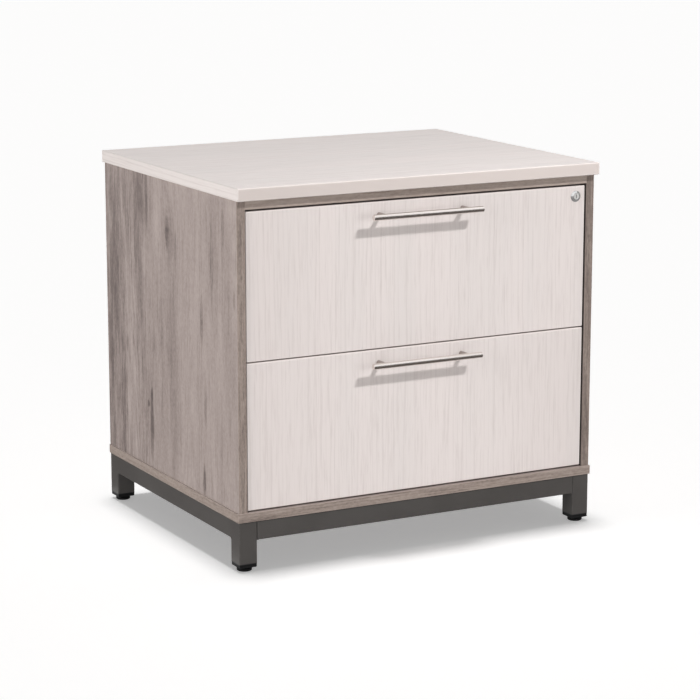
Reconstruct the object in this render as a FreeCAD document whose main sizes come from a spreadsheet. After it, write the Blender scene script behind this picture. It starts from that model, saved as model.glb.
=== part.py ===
# Two-drawer lateral filing cabinet on a welded steel base, in millimetres.
# The front faces -Y, +X is to the right and +Z is up. The origin is on the floor, under the
# middle of the whole object's box.
import FreeCAD, Part
import os
import re
import Sketcher
from FreeCAD import Placement, Rotation, Vector

doc = FreeCAD.newDocument("lateral_file")
sheet = doc.addObject("Spreadsheet::Sheet", "dims")

# Driving dimensions: name, size in millimetres, meaning.
driving = [
    ("cab_width", 800, "over the outer faces of the side panels"),
    ("cab_height", 749, "floor to the top face"),
    ("side_depth", 634, "front edge to rear edge of a side panel"),
    ("top_thick", 25, "top panel"),
    ("side_thick", 18, "side panels"),
    ("bottom_thick", 18, "bottom panel"),
    ("subtop_thick", 18, "panel under the top"),
    ("back_thick", 3, "back panel"),
    ("back_inset", 2, "edge of the back panel inside the case outline"),
    ("top_side_lip", 4, "top panel past each side panel"),
    ("top_front_lip", 14, "top panel past the side panels at the front"),
    ("top_rear_lip", 3, "top panel past the back panel"),
    ("base_lip", 2.5, "bottom panel past the sides and the front"),
    ("top_round", 2.5, "edge rounding of the top panel"),
    ("front_round", 2, "edge rounding of the drawer fronts"),
    ("edge_round", 0.8, "edge rounding of the other panels"),
    ("gap_side", 2, "drawer front to side panel"),
    ("gap_above", 4, "upper drawer front to sub-top"),
    ("gap_between", 2.5, "between the drawer fronts"),
    ("gap_below", 3, "lower drawer front to bottom panel"),
    ("front_recess", 3, "drawer front behind the front edge of the sides"),
    ("front_thick", 18, "drawer front"),
    ("leg_size", 38, "square leg tube"),
    ("leg_high", 85, "leg tube length"),
    ("rail_high", 38, "base rails, height"),
    ("rail_ledge", 13, "end plate beside a front or rear rail, for its bolt"),
    ("rail_plate", 3, "end plates of the front and rear rails"),
    ("tube_wall", 2, "wall of the base tubes"),
    ("tube_round", 2, "corner rounding of the base tubes"),
    ("weld_round", 5, "weld at the inner corner of leg and rail"),
    ("vent_radius", 4, "vent holes of the base rails"),
    ("vent_in", 60, "vent hole from the end of its rail"),
    ("cap_flange", 7, "end cap below the leg tube"),
    ("cap_chamfer", 1.2, "lower edge of an end cap"),
    ("cap_inset", 0.8, "end cap inside the outline of its leg tube"),
    ("cap_plug", 22, "end cap inside the leg tube"),
    ("foot_radius", 15, "glide of a foot"),
    ("foot_high", 7.7, "glide of a foot"),
    ("foot_bevel", 1.2, "lower edge of a foot"),
    ("foot_hub", 9, "raised hub of a foot, radius"),
    ("foot_rim", 5, "rim height of a foot"),
    ("stud_radius", 4, "stud of a foot"),
    ("stud_long", 24, "stud of a foot above the underside of its cap"),
    ("run_clear", 0.3, "running gap between a foot and its cap"),
    ("fit_clear", 0.2, "gap of pieces that slot into one another"),
    ("screw_clear", 0.1, "gap round a screw in its hole"),
    ("box_thick", 12, "drawer box walls"),
    ("box_below", 14, "drawer front edge below the box"),
    ("box_above", 37, "drawer front edge above the box"),
    ("rear_clear", 63, "space behind the drawer box"),
    ("tray_thick", 3.2, "drawer bottom"),
    ("tray_up", 12, "drawer bottom above the lower edge of the box"),
    ("groove_deep", 6, "groove for the drawer bottom"),
    ("slide_thick", 13, "side panel to drawer box"),
    ("slide_high", 45, "cabinet member of a slide"),
    ("slide_sheet", 1.2, "steel of the slides"),
    ("slide_up", 110, "slide centre above the lower edge of the box"),
    ("slide_inset", 2, "slide inside each end of the box"),
    ("slide_keep", 26, "overlap of the slide members when open"),
    ("slide_clear", 0.3, "gap between slide members and cages"),
    ("outer_short", 3, "cabinet member lips short of the box"),
    ("middle_short", 1.8, "middle member lips short of the box"),
    ("ball_dia", 3.2, "bearing balls"),
    ("ball_clear", 0.3, "gap between a ball and its race"),
    ("cage_sheet", 0.5, "ball cages"),
    ("cage_margin", 20, "ball cage inside the overlap of its members"),
    ("cage_short", 0.6, "ball cage inside the lips it runs between"),
    ("slide_screw_in", 35, "slide screw from the end of its member"),
    ("pull_radius", 6, "handle bar"),
    ("pull_bevel", 0.6, "end of the handle bar"),
    ("pull_long", 245, "handle bar"),
    ("pull_centres", 187, "between the handle posts"),
    ("pull_out", 37, "handle in front of the drawer front"),
    ("pull_down", 26, "handle below the top edge of the drawer front"),
    ("post_radius", 5, "handle posts"),
    ("post_thread", 14, "threaded hole in a handle post"),
    ("letter_span", 318, "file rod from the wall of the drawer box"),
    ("rod_thick", 3, "file rods"),
    ("rod_high", 14, "file rods"),
    ("glide_wall", 1.5, "file glides"),
    ("glide_drop", 8, "file glide down the box side"),
    ("glide_rib", 3, "hook rib on a file glide"),
    ("glide_end", 1, "file glide to the ends of the box"),
    ("lock_edge", 22, "lock from the side edge of the drawer front"),
    ("lock_down", 21, "lock from the top edge of the drawer front"),
    ("face_radius", 11.5, "face ring of the lock"),
    ("face_high", 3.4, "face ring of the lock"),
    ("face_land", 1, "flat of the face ring round the plug"),
    ("face_rim", 1, "straight rim of the face ring, outside its cone"),
    ("face_round", 1.5, "edges of the cone of the face ring"),
    ("barrel_radius", 9, "lock barrel"),
    ("barrel_long", 26, "lock barrel behind the drawer front face"),
    ("plug_radius", 6, "turning plug of the lock"),
    ("plug_clear", 0.06, "running gap of the plug"),
    ("plug_proud", 0.4, "plug in front of the face ring"),
    ("key_wide", 1.6, "key slot"),
    ("key_high", 7.5, "key slot"),
    ("key_deep", 8, "key slot"),
    ("plug_bore", 12, "threaded hole in the tail of the plug"),
    ("nut_radius", 12.5, "lock nut over its corners"),
    ("nut_thick", 4, "lock nut"),
    ("tail_wide", 7, "square tail of the plug"),
    ("cam_gap", 0.3, "barrel to cam"),
    ("cam_thick", 2, "lock cam"),
    ("cam_wide", 14, "lock cam"),
    ("cam_reach", 32, "lock cam from the lock centre"),
    ("cam_round", 3.5, "corners of the lock cam"),
    ("cam_tail", 8, "lock cam past the lock centre"),
    ("strike_thick", 1.2, "strike plate"),
    ("strike_clear", 2, "slot of the strike round the cam"),
    ("strike_end", 12, "strike plate past its slot"),
    ("strike_side", 5, "strike plate beside its slot"),
    ("pan_radius", 1.75, "pan head screws"),
    ("pan_long", 12, "pan head screws"),
    ("pan_head", 3.5, "pan head screws, head radius"),
    ("pan_head_high", 1.7, "pan head screws"),
    ("back_screw_in", 45, "back screws from the ends of a side panel"),
    ("wood_radius", 2, "box and top screws"),
    ("wood_head", 4, "box and top screws, head radius"),
    ("wood_head_high", 1.8, "box and top screws"),
    ("box_screw_long", 25, "box screws"),
    ("box_screw_in", 40, "box screws from the edges of the box"),
    ("top_screw_long", 30, "top screws"),
    ("top_screw_in", 80, "top screws from the edges of the sub-top"),
    ("handle_screw", 2, "handle screws, radius"),
    ("handle_screw_bite", 9, "handle screw inside the post"),
    ("handle_head", 4, "handle screws, head radius"),
    ("handle_head_high", 2.2, "handle screws"),
    ("bolt_radius", 3, "base and rail bolts"),
    ("bolt_head", 5.5, "base and rail bolts, head radius"),
    ("bolt_head_high", 3.3, "base and rail bolts"),
    ("base_bolt_bite", 12, "base bolt inside the bottom panel"),
    ("base_bolt_in", 70, "base bolt from a leg"),
    ("rail_bolt_long", 14, "rail bolts"),
    ("socket_radius", 2.3, "hex socket of the bolts, over its corners"),
    ("socket_deep", 1.8, "hex socket of the bolts"),
    ("head_bevel", 0.8, "rim of the screw and bolt heads"),
    ("cross_wide", 0.9, "cross recess of the screws"),
    ("cross_long", 3.6, "cross recess of the screws"),
    ("cross_deep", 0.8, "cross recess of the screws"),
    ("fitting_radius", 7.5, "cam fittings"),
    ("fitting_deep", 13, "cam fittings"),
    ("fitting_edge", 34, "cam fitting from the end of its panel"),
    ("fitting_in", 90, "cam fitting from the front and rear edges"),
    ("link_axis", 9, "cam bolt below the face of its panel"),
    ("link_radius", 3.5, "cam bolts"),
    ("link_bore", 3.9, "hole for a cam bolt"),
    ("link_neck", 2.4, "cam bolts, neck and thread radius"),
    ("link_head", 4, "cam bolts, head length"),
    ("link_gap", 1, "cam bolt from the middle of its fitting"),
    ("link_bite", 11, "cam bolt inside the other panel"),
]

# Places and sizes that follow from the driving dimensions.
derived = {
    "foot_stack": "foot_high + run_clear + cap_flange",
    "base_top": "foot_stack + leg_high",
    "case_floor": "base_top + bottom_thick",
    "top_under": "cab_height - top_thick",
    "subtop_under": "top_under - subtop_thick",
    "front_high": "(subtop_under - case_floor - gap_above - gap_between - gap_below) / 2",
    "lower_front": "case_floor + gap_below",
    "upper_front": "lower_front + front_high + gap_between",
    "box_high": "front_high - box_below - box_above",
    "side_out": "cab_width / 2",
    "side_in": "side_out - side_thick",
    "leg_in": "side_out - leg_size",
    "front_half": "side_in - gap_side",
    "box_out": "side_in - slide_thick",
    "box_in": "box_out - box_thick",
    "case_front": "(pull_out - front_recess - side_depth - back_thick - top_rear_lip) / 2",
    "case_rear": "case_front + side_depth",
    "front_face": "case_front + front_recess",
    "front_rear": "front_face + front_thick",
    "box_deep": "side_depth - front_recess - front_thick - rear_clear",
    "box_rear": "front_rear + box_deep",
    "slide_start": "front_rear + slide_inset",
    "slide_long": "box_deep - 2 * slide_inset",
    "travel": "slide_long - slide_keep",
    "race": "ball_dia + 2 * ball_clear",
    "outer_half": "slide_high / 2",
    "middle_half": "outer_half - slide_sheet - race",
    "inner_half": "middle_half - slide_sheet - race",
    "outer_cage_from": "slide_sheet + pan_head_high + slide_clear",
    "middle_from": "outer_cage_from + cage_sheet + slide_clear",
    "inner_cage_from": "middle_from + slide_sheet + slide_clear",
    "inner_from": "inner_cage_from + cage_sheet + slide_clear",
    "outer_to": "slide_thick - outer_short",
    "middle_to": "slide_thick - middle_short",
    "cage_start": "slide_start + travel / 4 + cage_margin",
    "cage_long": "slide_long - travel / 2 - 2 * cage_margin",
    "rod_up": "glide_wall + glide_rib",
    "rod_at": "box_in - letter_span",
    "rail_under": "base_top - rail_high",
    "rail_deep": "leg_size - rail_ledge",
    "lock_at": "front_half - lock_edge",
    "lock_up": "upper_front + front_high - lock_down",
    "lock_rear": "front_face + barrel_long",
    "cam_front": "lock_rear + cam_gap",
    "slot_from": "lock_at - cam_reach",
    "slot_to": "lock_at + cam_wide / 2 + strike_clear",
    "slot_front": "cam_front - strike_clear",
    "slot_deep": "cam_thick + 2 * strike_clear",
    "slot_high": "cam_reach - subtop_under + lock_up + strike_clear",
}

turns = {
    "+x": Rotation(Vector(0, 1, 0), 90),
    "-x": Rotation(Vector(0, 1, 0), -90),
    "+y": Rotation(Vector(1, 0, 0), -90),
    "-y": Rotation(Vector(1, 0, 0), 90),
    "+z": Rotation(),
    "-z": Rotation(Vector(1, 0, 0), 180),
}
pieces = []


cells = {alias for alias, size, meaning in driving}


def fill_sheet():
    for row, (alias, size, meaning) in enumerate(driving, 1):
        sheet.set(f"A{row}", meaning)
        sheet.set(f"B{row}", str(size))
        sheet.setAlias(f"B{row}", alias)
    doc.recompute()


def formula(text):
    """The expression for a formula: each name becomes its cell, or its own formula in brackets."""
    def swap(match):
        name = match.group(0)
        if name in derived:
            return "(" + formula(derived[name]) + ")"
        if name in cells:
            return "dims." + name
        raise KeyError(name)
    return re.sub(r"[a-z]\w*", swap, str(text))


def number(text):
    """What a formula comes to now."""
    return float(sheet.evalExpression(formula(text)))


def bind(thing, **sizes):
    for name, text in sizes.items():
        thing.setExpression(name, formula(text))
    return thing


def place(thing, at, along="+z"):
    thing.Placement = Placement(Vector(), turns[along])
    for axis, text in zip("xyz", at):
        thing.setExpression(f"Placement.Base.{axis}", formula(text))
    return thing


def finish(thing, label):
    """Counts a shape as a sub-part of the cabinet."""
    thing.Label = label
    pieces.append(thing)
    return thing


def block(name, at, size):
    thing = doc.addObject("Part::Box", name)
    bind(thing, Length=size[0], Width=size[1], Height=size[2])
    return place(thing, at)


def rod(name, at, along, radius, long):
    thing = doc.addObject("Part::Cylinder", name)
    bind(thing, Radius=radius, Height=long)
    return place(thing, at, along)


def hexagon(name, at, along, radius, long):
    thing = doc.addObject("Part::Prism", name)
    bind(thing, Circumradius=radius, Height=long)
    return place(thing, at, along)


def fuse(name, things):
    thing = doc.addObject("Part::MultiFuse", name)
    thing.Shapes = things
    thing.Refine = True
    return thing


def cut(name, base, tools):
    thing = doc.addObject("Part::Cut", name)
    thing.Base = base
    thing.Tool = tools[0] if len(tools) == 1 else fuse(name + "_tools", tools)
    return thing


def group(name, things):
    thing = doc.addObject("Part::Compound", name)
    thing.Links = things
    return thing


def copies(name, master, spots):
    """A group of copies of one piece, one at each spot: (x, y, z, direction of its +Z)."""
    things = []
    for count, (x, y, z, along) in enumerate(spots, 1):
        thing = doc.addObject("App::Link", f"{name}_{count}")
        thing.LinkedObject = master
        things.append(place(thing, (x, y, z), along))
    return group(name, things)


def new_body(name):
    return doc.addObject("PartDesign::Body", name)


def sketch_on(body, role):
    plane = next(item for item in body.Origin.OriginFeatures if item.Role == role)
    sketch = body.newObject("Sketcher::SketchObject", body.Name + "_sketch")
    sketch.AttachmentSupport = [(plane, "")]
    sketch.MapMode = "FlatFace"
    return sketch


def draw(sketch, corners):
    """A closed outline of straight lines whose corners are bound to the sheet."""
    points = [Vector(number(x), number(y), 0) for x, y in corners]
    last = len(points) - 1
    for i, point in enumerate(points):
        sketch.addGeometry(Part.LineSegment(point, points[0 if i == last else i + 1]))
    for i in range(len(points)):
        sketch.addConstraint(Sketcher.Constraint("Coincident", i, 2, 0 if i == last else i + 1, 1))
    for i, (x, y) in enumerate(corners):
        hold(sketch, i, "DistanceX", x, -2)
        hold(sketch, i, "DistanceY", y, -1)


def hold(sketch, corner, kind, text, axis):
    if text == "0":
        sketch.addConstraint(Sketcher.Constraint("PointOnObject", corner, 1, axis))
        return
    count = sketch.addConstraint(Sketcher.Constraint(kind, -1, 1, corner, 1, number(text)))
    sketch.setExpression(f"Constraints[{count}]", formula(text))


def pad(body, sketch, long):
    thing = body.newObject("PartDesign::Pad", body.Name + "_pad")
    thing.Profile = sketch
    bind(thing, Length=long)
    doc.recompute()
    return thing


def dress(body, kind, base, wanted, **size):
    """Rounds or chamfers the edges of a body's feature that answer to wanted."""
    edges = base.Shape.Edges
    names = [f"Edge{i}" for i, edge in enumerate(edges, 1) if wanted(edge.BoundBox)]
    thing = body.newObject("PartDesign::" + kind, f"{body.Name}_{kind.lower()}_{len(body.Group)}")
    thing.Base = (base, names)
    bind(thing, **size)
    doc.recompute()
    return thing


def slab(name, at, size, rounding=None, wanted=None):
    """A rectangular panel whose chosen edges are rounded."""
    body = new_body(name)
    sketch = sketch_on(body, "XY_Plane")
    draw(sketch, [("0", "0"), (size[0], "0"), (size[0], size[1]), ("0", size[1])])
    panel = pad(body, sketch, size[2])
    if rounding:
        dress(body, "Fillet", panel, wanted, Radius=rounding)
    return place(body, at)


def turned(name, profile):
    """A piece turned about its own +Z, from the (radius, height) corners of its profile."""
    body = new_body(name)
    sketch = sketch_on(body, "XZ_Plane")
    draw(sketch, profile)
    turning = body.newObject("PartDesign::Revolution", name + "_turning")
    turning.Profile = sketch
    turning.ReferenceAxis = (sketch, ["V_Axis"])
    turning.Angle = 360
    doc.recompute()
    return body


def every_edge(box):
    return True


def long_in_x(box):
    return box.XLength > max(box.YLength, box.ZLength)


def long_in_y(box):
    return box.YLength > max(box.XLength, box.ZLength)


def front_upright(box):
    return box.ZLength > max(box.XLength, box.YLength) and box.YMax < 1


def front_across(box):
    return long_in_x(box) and box.YMax < 1


def outward(side, near, far):
    """Start and length across X of a span from near to far, measured out from the middle."""
    start = near if side == "right" else f"-({far})"
    return start, f"({far}) - ({near})"


def mirrored(side, text):
    return text if side == "right" else f"-({text})"


sides = ("left", "right")
outward_turn = {"left": "-x", "right": "+x"}
inward_turn = {"left": "+x", "right": "-x"}
drawers = {"upper": "upper_front", "lower": "lower_front"}


def slide_centre(drawer):
    return f"{drawers[drawer]} + box_below + slide_up"


def slide_rows():
    """Places along Y of the screws of one slide member."""
    return ("slide_start + slide_screw_in",
            "slide_start + slide_long / 2",
            "slide_start + slide_long - slide_screw_in")


# Screws, bolts and fittings. Each is made once, pointing along +Z, with its outer end at zero.

def cross_recess(name, screw):
    bar_x = block(name + "_bar_x", ("-cross_long / 2", "-cross_wide / 2", "0"),
                  ("cross_long", "cross_wide", "cross_deep"))
    bar_y = block(name + "_bar_y", ("-cross_wide / 2", "-cross_long / 2", "0"),
                  ("cross_wide", "cross_long", "cross_deep"))
    return cut(name, screw, [bar_x, bar_y])


def screw(name, radius, head_radius, head_high, long):
    return turned(name + "_turned", [
        ("0", "0"), (f"{head_radius} - head_bevel", "0"), (head_radius, "head_bevel"),
        (head_radius, head_high), (radius, head_high), (radius, f"{head_high} + {long}"),
        ("0", f"{head_high} + {long}")])


def crossed_screw(name, radius, head_radius, head_high, long):
    return cross_recess(name, screw(name, radius, head_radius, head_high, long))


def socket_bolt(name, long):
    shape = screw(name, "bolt_radius", "bolt_head", "bolt_head_high", long)
    socket = hexagon(name + "_socket", ("0", "0", "0"), "+z", "socket_radius", "socket_deep")
    return cut(name, shape, [socket])


def cam_fitting():
    drum = rod("fitting_drum", ("0", "0", "0"), "+z", "fitting_radius - screw_clear", "fitting_deep")
    link_hole = rod("fitting_hole", ("0", "0", "link_axis"), "+x", "link_bore", "fitting_radius")
    recessed = cross_recess("fitting_recessed", drum)
    return cut("cam_fitting", recessed, [link_hole])


def cam_bolt():
    head_end = "link_head"
    neck_end = "2 * link_head"
    thread_from = "fitting_edge - link_gap"
    tip = "fitting_edge - link_gap + link_bite"
    return turned("cam_bolt", [
        ("0", "0"), ("link_radius", "0"), ("link_radius", head_end), ("link_neck", head_end),
        ("link_neck", neck_end), ("link_radius", neck_end), ("link_radius", thread_from),
        ("link_neck", thread_from), ("link_neck", tip), ("0", tip)])


# Where the cabinet's fasteners go: bearing point and direction.

def fitting_rows():
    return ("case_front + fitting_in", "case_rear - fitting_in")


def back_screw_spots(piece):
    """The back screws that go into a side panel, the sub-top or the bottom panel."""
    if piece in sides:
        gaps = 3
        step = f"(top_under - case_floor - 2 * back_screw_in) / {gaps}"
        x = mirrored(piece, "side_out - side_thick / 2")
        spots = [(x, f"case_floor + back_screw_in + {i} * {step}") for i in range(gaps + 1)]
    else:
        up = {"sub_top": "subtop_under + subtop_thick / 2", "bottom": "base_top + bottom_thick / 2"}[piece]
        spots = [(x, up) for x in ("-side_in / 2", "0", "side_in / 2")]
    return [(x, "case_rear + back_thick", z, "-y") for x, z in spots]


def all_back_screws():
    return [spot for piece in ("left", "right", "sub_top", "bottom") for spot in back_screw_spots(piece)]


def outer_slide_spots(side):
    at = mirrored(side, "side_in - slide_sheet")
    return [(at, y, slide_centre(drawer), outward_turn[side]) for drawer in drawers for y in slide_rows()]


def strike_spots():
    y = "slot_front + slot_deep / 2"
    under = "subtop_under - strike_thick"
    return [(x, y, under, "+z") for x in ("slot_from - strike_end / 2", "slot_to + strike_end / 2")]


def top_screw_spots():
    rows = ("case_front + top_screw_in", "case_rear - top_screw_in")
    return [(x, y, "subtop_under", "+z") for y in rows
            for x in ("-(side_in - top_screw_in)", "0", "side_in - top_screw_in")]


def base_bolt_spots(side):
    x = mirrored(side, "side_out - leg_size / 2")
    rows = ("case_front + leg_size + base_bolt_in", "case_front + side_depth / 2",
            "case_rear - leg_size - base_bolt_in")
    return [(x, y, "rail_under", "+z") for y in rows]


def rail_bolt_spots(side, y):
    return [(mirrored(side, "leg_in - rail_plate"), y, "base_top - rail_high / 2", outward_turn[side])]


rail_bolt_rows = {"front": "case_front + leg_size - rail_ledge / 2",
                  "rear": "case_rear - leg_size + rail_ledge / 2"}


def backed_off(spots, head_high):
    """The spots of the heads' outer ends, for screws that bear at the given spots."""
    step = {"+": "-", "-": "+"}
    moved = []
    for x, y, z, along in spots:
        place_of = {"x": x, "y": y, "z": z}
        place_of[along[1]] = f"{place_of[along[1]]} {step[along[0]]} {head_high}"
        moved.append((place_of["x"], place_of["y"], place_of["z"], along))
    return moved


def holes(name, spots, radius, long):
    return [rod(f"{name}_{i}", spot[:3], spot[3], radius, long) for i, spot in enumerate(spots, 1)]


# Cabinet case.

def top_panel():
    panel = slab("top_blank",
                 ("-side_out - top_side_lip", "case_front - top_front_lip", "top_under"),
                 ("2 * (side_out + top_side_lip)",
                  "side_depth + top_front_lip + back_thick + top_rear_lip", "top_thick"),
                 "top_round", every_edge)
    pilots = holes("top_pilot", top_screw_spots(), "wood_radius + screw_clear",
                   "top_screw_long + screw_clear")
    finish(cut("top_panel", panel, pilots), "top_panel")


def sub_top_panel():
    panel = slab("sub_top_blank", ("-side_in", "case_front", "subtop_under"),
                 ("2 * side_in", "side_depth", "subtop_thick"), "edge_round", front_across)
    tools = holes("sub_top_hole", top_screw_spots(), "wood_radius + screw_clear", "subtop_thick")
    tools.append(block("strike_mortise", ("slot_from", "slot_front", "subtop_under"),
                       ("slot_to - slot_from", "slot_deep", "slot_high")))
    tools += holes("strike_pilot", strike_spots(), "pan_radius + screw_clear", "pan_long + screw_clear")
    tools += holes("sub_top_back_pilot", back_screw_spots("sub_top"), "pan_radius + screw_clear",
                   "pan_long + screw_clear")
    for side in sides:
        for count, y in enumerate(fitting_rows()):
            name = f"sub_top_{side}_{count}"
            x = mirrored(side, "side_in - fitting_edge")
            tools.append(rod(name + "_seat", (x, y, "subtop_under"), "+z", "fitting_radius",
                             "fitting_deep + screw_clear"))
            tools.append(rod(name + "_link", (x, y, "subtop_under + link_axis"), outward_turn[side],
                             "link_bore", "fitting_edge"))
    finish(cut("sub_top_panel", panel, tools), "sub_top_panel")


def side_panel(side):
    start, thick = outward(side, "side_in", "side_out")
    label = f"{side}_side_panel"
    panel = slab(label + "_blank", (start, "case_front", "case_floor"),
                 (thick, "side_depth", "top_under - case_floor"), "edge_round", front_upright)
    face = mirrored(side, "side_in")
    tools = holes(label + "_slide_pilot", outer_slide_spots(side), "pan_radius + screw_clear",
                  "pan_long + screw_clear")
    tools += holes(label + "_back_pilot", back_screw_spots(side),
                   "pan_radius + screw_clear", "pan_long + screw_clear")
    for count, y in enumerate(fitting_rows()):
        name = f"{label}_{count}"
        tools.append(rod(name + "_seat", (face, y, "case_floor + fitting_edge"), outward_turn[side],
                         "fitting_radius", "fitting_deep + screw_clear"))
        tools.append(rod(name + "_link", (mirrored(side, "side_in + link_axis"), y, "case_floor"),
                         "+z", "link_bore", "fitting_edge"))
        tools.append(rod(name + "_thread", (face, y, "subtop_under + link_axis"), outward_turn[side],
                         "link_neck + screw_clear", "link_bite + screw_clear"))
    finish(cut(label, panel, tools), label)


def bottom_panel():
    panel = slab("bottom_blank", ("-side_out - base_lip", "case_front - base_lip", "base_top"),
                 ("2 * (side_out + base_lip)", "side_depth + base_lip", "bottom_thick"),
                 "edge_round", every_edge)
    tools = holes("bottom_back_pilot", back_screw_spots("bottom"), "pan_radius + screw_clear",
                  "pan_long + screw_clear")
    for side in sides:
        spots = [(x, y, "base_top", along) for x, y, z, along in base_bolt_spots(side)]
        tools += holes(f"bottom_{side}_bolt", spots, "bolt_radius + screw_clear",
                       "base_bolt_bite + screw_clear")
        at = mirrored(side, "side_in + link_axis")
        spots = [(at, y, "case_floor", "-z") for y in fitting_rows()]
        tools += holes(f"bottom_{side}_thread", spots, "link_neck + screw_clear",
                       "link_bite + screw_clear")
    finish(cut("bottom_panel", panel, tools), "bottom_panel")


def back_panel():
    panel = block("back_blank", ("-side_out + back_inset", "case_rear", "base_top + back_inset"),
                  ("2 * (side_out - back_inset)", "back_thick", "top_under - base_top - 2 * back_inset"))
    tools = holes("back_hole", all_back_screws(), "pan_radius + screw_clear", "back_thick")
    finish(cut("back_panel", panel, tools), "back_panel")


# Steel base.

def leg_frame(side):
    label = f"{side}_leg_frame"
    start, wide = outward(side, "leg_in", "side_out")
    body = new_body(label + "_tube")
    sketch = sketch_on(body, "YZ_Plane")
    rail_from = "leg_high - rail_high"
    rear_leg = "side_depth - leg_size"
    draw(sketch, [("0", "0"), ("leg_size", "0"), ("leg_size", rail_from), (rear_leg, rail_from),
                  (rear_leg, "0"), ("side_depth", "0"), ("side_depth", "leg_high"), ("0", "leg_high")])
    solid = pad(body, sketch, "leg_size")
    corner = number(rail_from)
    leg_end = number("leg_size")
    rear_end = number(rear_leg)
    top = number("leg_high")
    outline = (0, number("leg_size"))

    def inner_corner(box):
        near_rail = abs(box.ZMin - corner) < 0.01
        return near_rail and long_in_x(box) and min(abs(box.YMin - leg_end), abs(box.YMin - rear_end)) < 0.01

    def along_tube(box):
        on_face = box.XLength < 0.01 and min(abs(box.XMin - x) for x in outline) < 0.01
        at_end = box.ZLength < 0.01 and min(abs(box.ZMin), abs(box.ZMin - top)) < 0.01
        return on_face and not at_end

    welded = dress(body, "Fillet", solid, inner_corner, Radius="weld_round")
    dress(body, "Fillet", welded, along_tube, Radius="tube_round")
    place(body, (start, "case_front", "foot_stack"))
    tools = []
    inner = "leg_size - 2 * tube_wall"
    x = f"{start} + tube_wall"
    for end, y in (("front", "case_front + tube_wall"), ("rear", "case_rear - leg_size + tube_wall")):
        tools.append(block(f"{label}_{end}_hollow", (x, y, "foot_stack"),
                           (inner, inner, "leg_high - tube_wall")))
    tools.append(block(label + "_rail_hollow", (x, "case_front + leg_size", "rail_under + tube_wall"),
                       (inner, "side_depth - 2 * leg_size", "rail_high - 2 * tube_wall")))
    tools += holes(label + "_bolt", base_bolt_spots(side), "bolt_radius + screw_clear", "rail_high")
    for end, y in rail_bolt_rows.items():
        spots = [(mirrored(side, "leg_in"),) + spot[1:] for spot in rail_bolt_spots(side, y)]
        tools += holes(f"{label}_{end}_rail_bolt", spots, "bolt_radius + screw_clear", "tube_wall")
    finish(cut(label, body, tools), label)


def base_rail(end):
    label = f"{end}_base_rail"
    near = "case_front" if end == "front" else "case_rear - rail_deep"
    plate_near = "case_front" if end == "front" else "case_rear - leg_size"
    tube = slab(label + "_tube", ("-leg_in", near, "rail_under"),
                ("2 * leg_in", "rail_deep", "rail_high"), "tube_round", long_in_x)
    plates = [block(f"{label}_{side}_plate",
                    (outward(side, "leg_in - rail_plate", "leg_in")[0], plate_near, "rail_under"),
                    ("rail_plate", "leg_size", "rail_high")) for side in sides]
    tools = [block(label + "_hollow",
                   ("-leg_in + rail_plate", f"{near} + tube_wall", "rail_under + tube_wall"),
                   ("2 * (leg_in - rail_plate)", "rail_deep - 2 * tube_wall", "rail_high - 2 * tube_wall"))]
    for side in sides:
        tools += holes(f"{label}_{side}_bolt", rail_bolt_spots(side, rail_bolt_rows[end]),
                       "bolt_radius + screw_clear", "rail_plate")
        tools.append(rod(f"{label}_{side}_vent",
                         (mirrored(side, "leg_in - vent_in"), f"{near} + rail_deep / 2", "rail_under"),
                         "+z", "vent_radius", "tube_wall"))
    finish(cut(label, fuse(label + "_welded", [tube] + plates), tools), label)


leg_places = {
    "front_left": ("-(side_out - leg_size / 2)", "case_front + leg_size / 2"),
    "front_right": ("side_out - leg_size / 2", "case_front + leg_size / 2"),
    "rear_left": ("-(side_out - leg_size / 2)", "case_rear - leg_size / 2"),
    "rear_right": ("side_out - leg_size / 2", "case_rear - leg_size / 2"),
}


def leg_end_caps():
    body = new_body("cap_flange_body")
    sketch = sketch_on(body, "XY_Plane")
    half = "leg_size / 2 - cap_inset"
    draw(sketch, [(f"-({half})", f"-({half})"), (half, f"-({half})"), (half, half), (f"-({half})", half)])
    flange = pad(body, sketch, "cap_flange")

    def lower(box):
        return box.ZMax < 0.01

    dress(body, "Chamfer", flange, lower, Size="cap_chamfer")
    inner = "leg_size / 2 - tube_wall - fit_clear"
    plug = block("cap_plug_block", (f"-({inner})", f"-({inner})", "cap_flange"),
                 (f"2 * ({inner})", f"2 * ({inner})", "cap_plug"))
    bore = rod("cap_bore", ("0", "0", "0"), "+z", "stud_radius + fit_clear", "cap_flange + cap_plug")
    cap = cut("leg_end_cap", fuse("cap_whole", [body, plug]), [bore])
    spots = [(x, y, "foot_high + run_clear", "+z") for x, y in leg_places.values()]
    finish(copies("leg_end_caps", cap, spots), "leg_end_caps")


def foot(name):
    tip = "foot_high + run_clear + stud_long"
    body = turned(f"{name}_foot", [
        ("0", "0"), ("foot_radius - foot_bevel", "0"), ("foot_radius", "foot_bevel"),
        ("foot_radius", "foot_rim"), ("foot_hub", "foot_high"), ("stud_radius", "foot_high"),
        ("stud_radius", tip), ("0", tip)])
    x, y = leg_places[name]
    finish(place(body, (x, y, "0")), f"{name}_foot")


# Drawer slides. Their depths are measured from the side panel towards the drawer box.

def channel(name, side, up, near, far, web, half, sheet_thick, start, long):
    """A U-shaped strip: a web on one side of the span from near to far, and a lip above and below."""
    if web == "near":
        web_near, web_far = near, f"({near}) + {sheet_thick}"
    else:
        web_near, web_far = f"({far}) - {sheet_thick}", far
    strips = [("web", web_near, web_far, f"-({half})", f"2 * ({half})"),
              ("upper_lip", near, far, f"({half}) - {sheet_thick}", sheet_thick),
              ("lower_lip", near, far, f"-({half})", sheet_thick)]
    blocks = []
    for part, u_near, u_far, low, high in strips:
        x, wide = outward(side, f"side_in - ({u_far})", f"side_in - ({u_near})")
        blocks.append(block(f"{name}_{part}", (x, start, f"{up} + {low}"), (wide, long, high)))
    return fuse(name, blocks)


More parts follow.
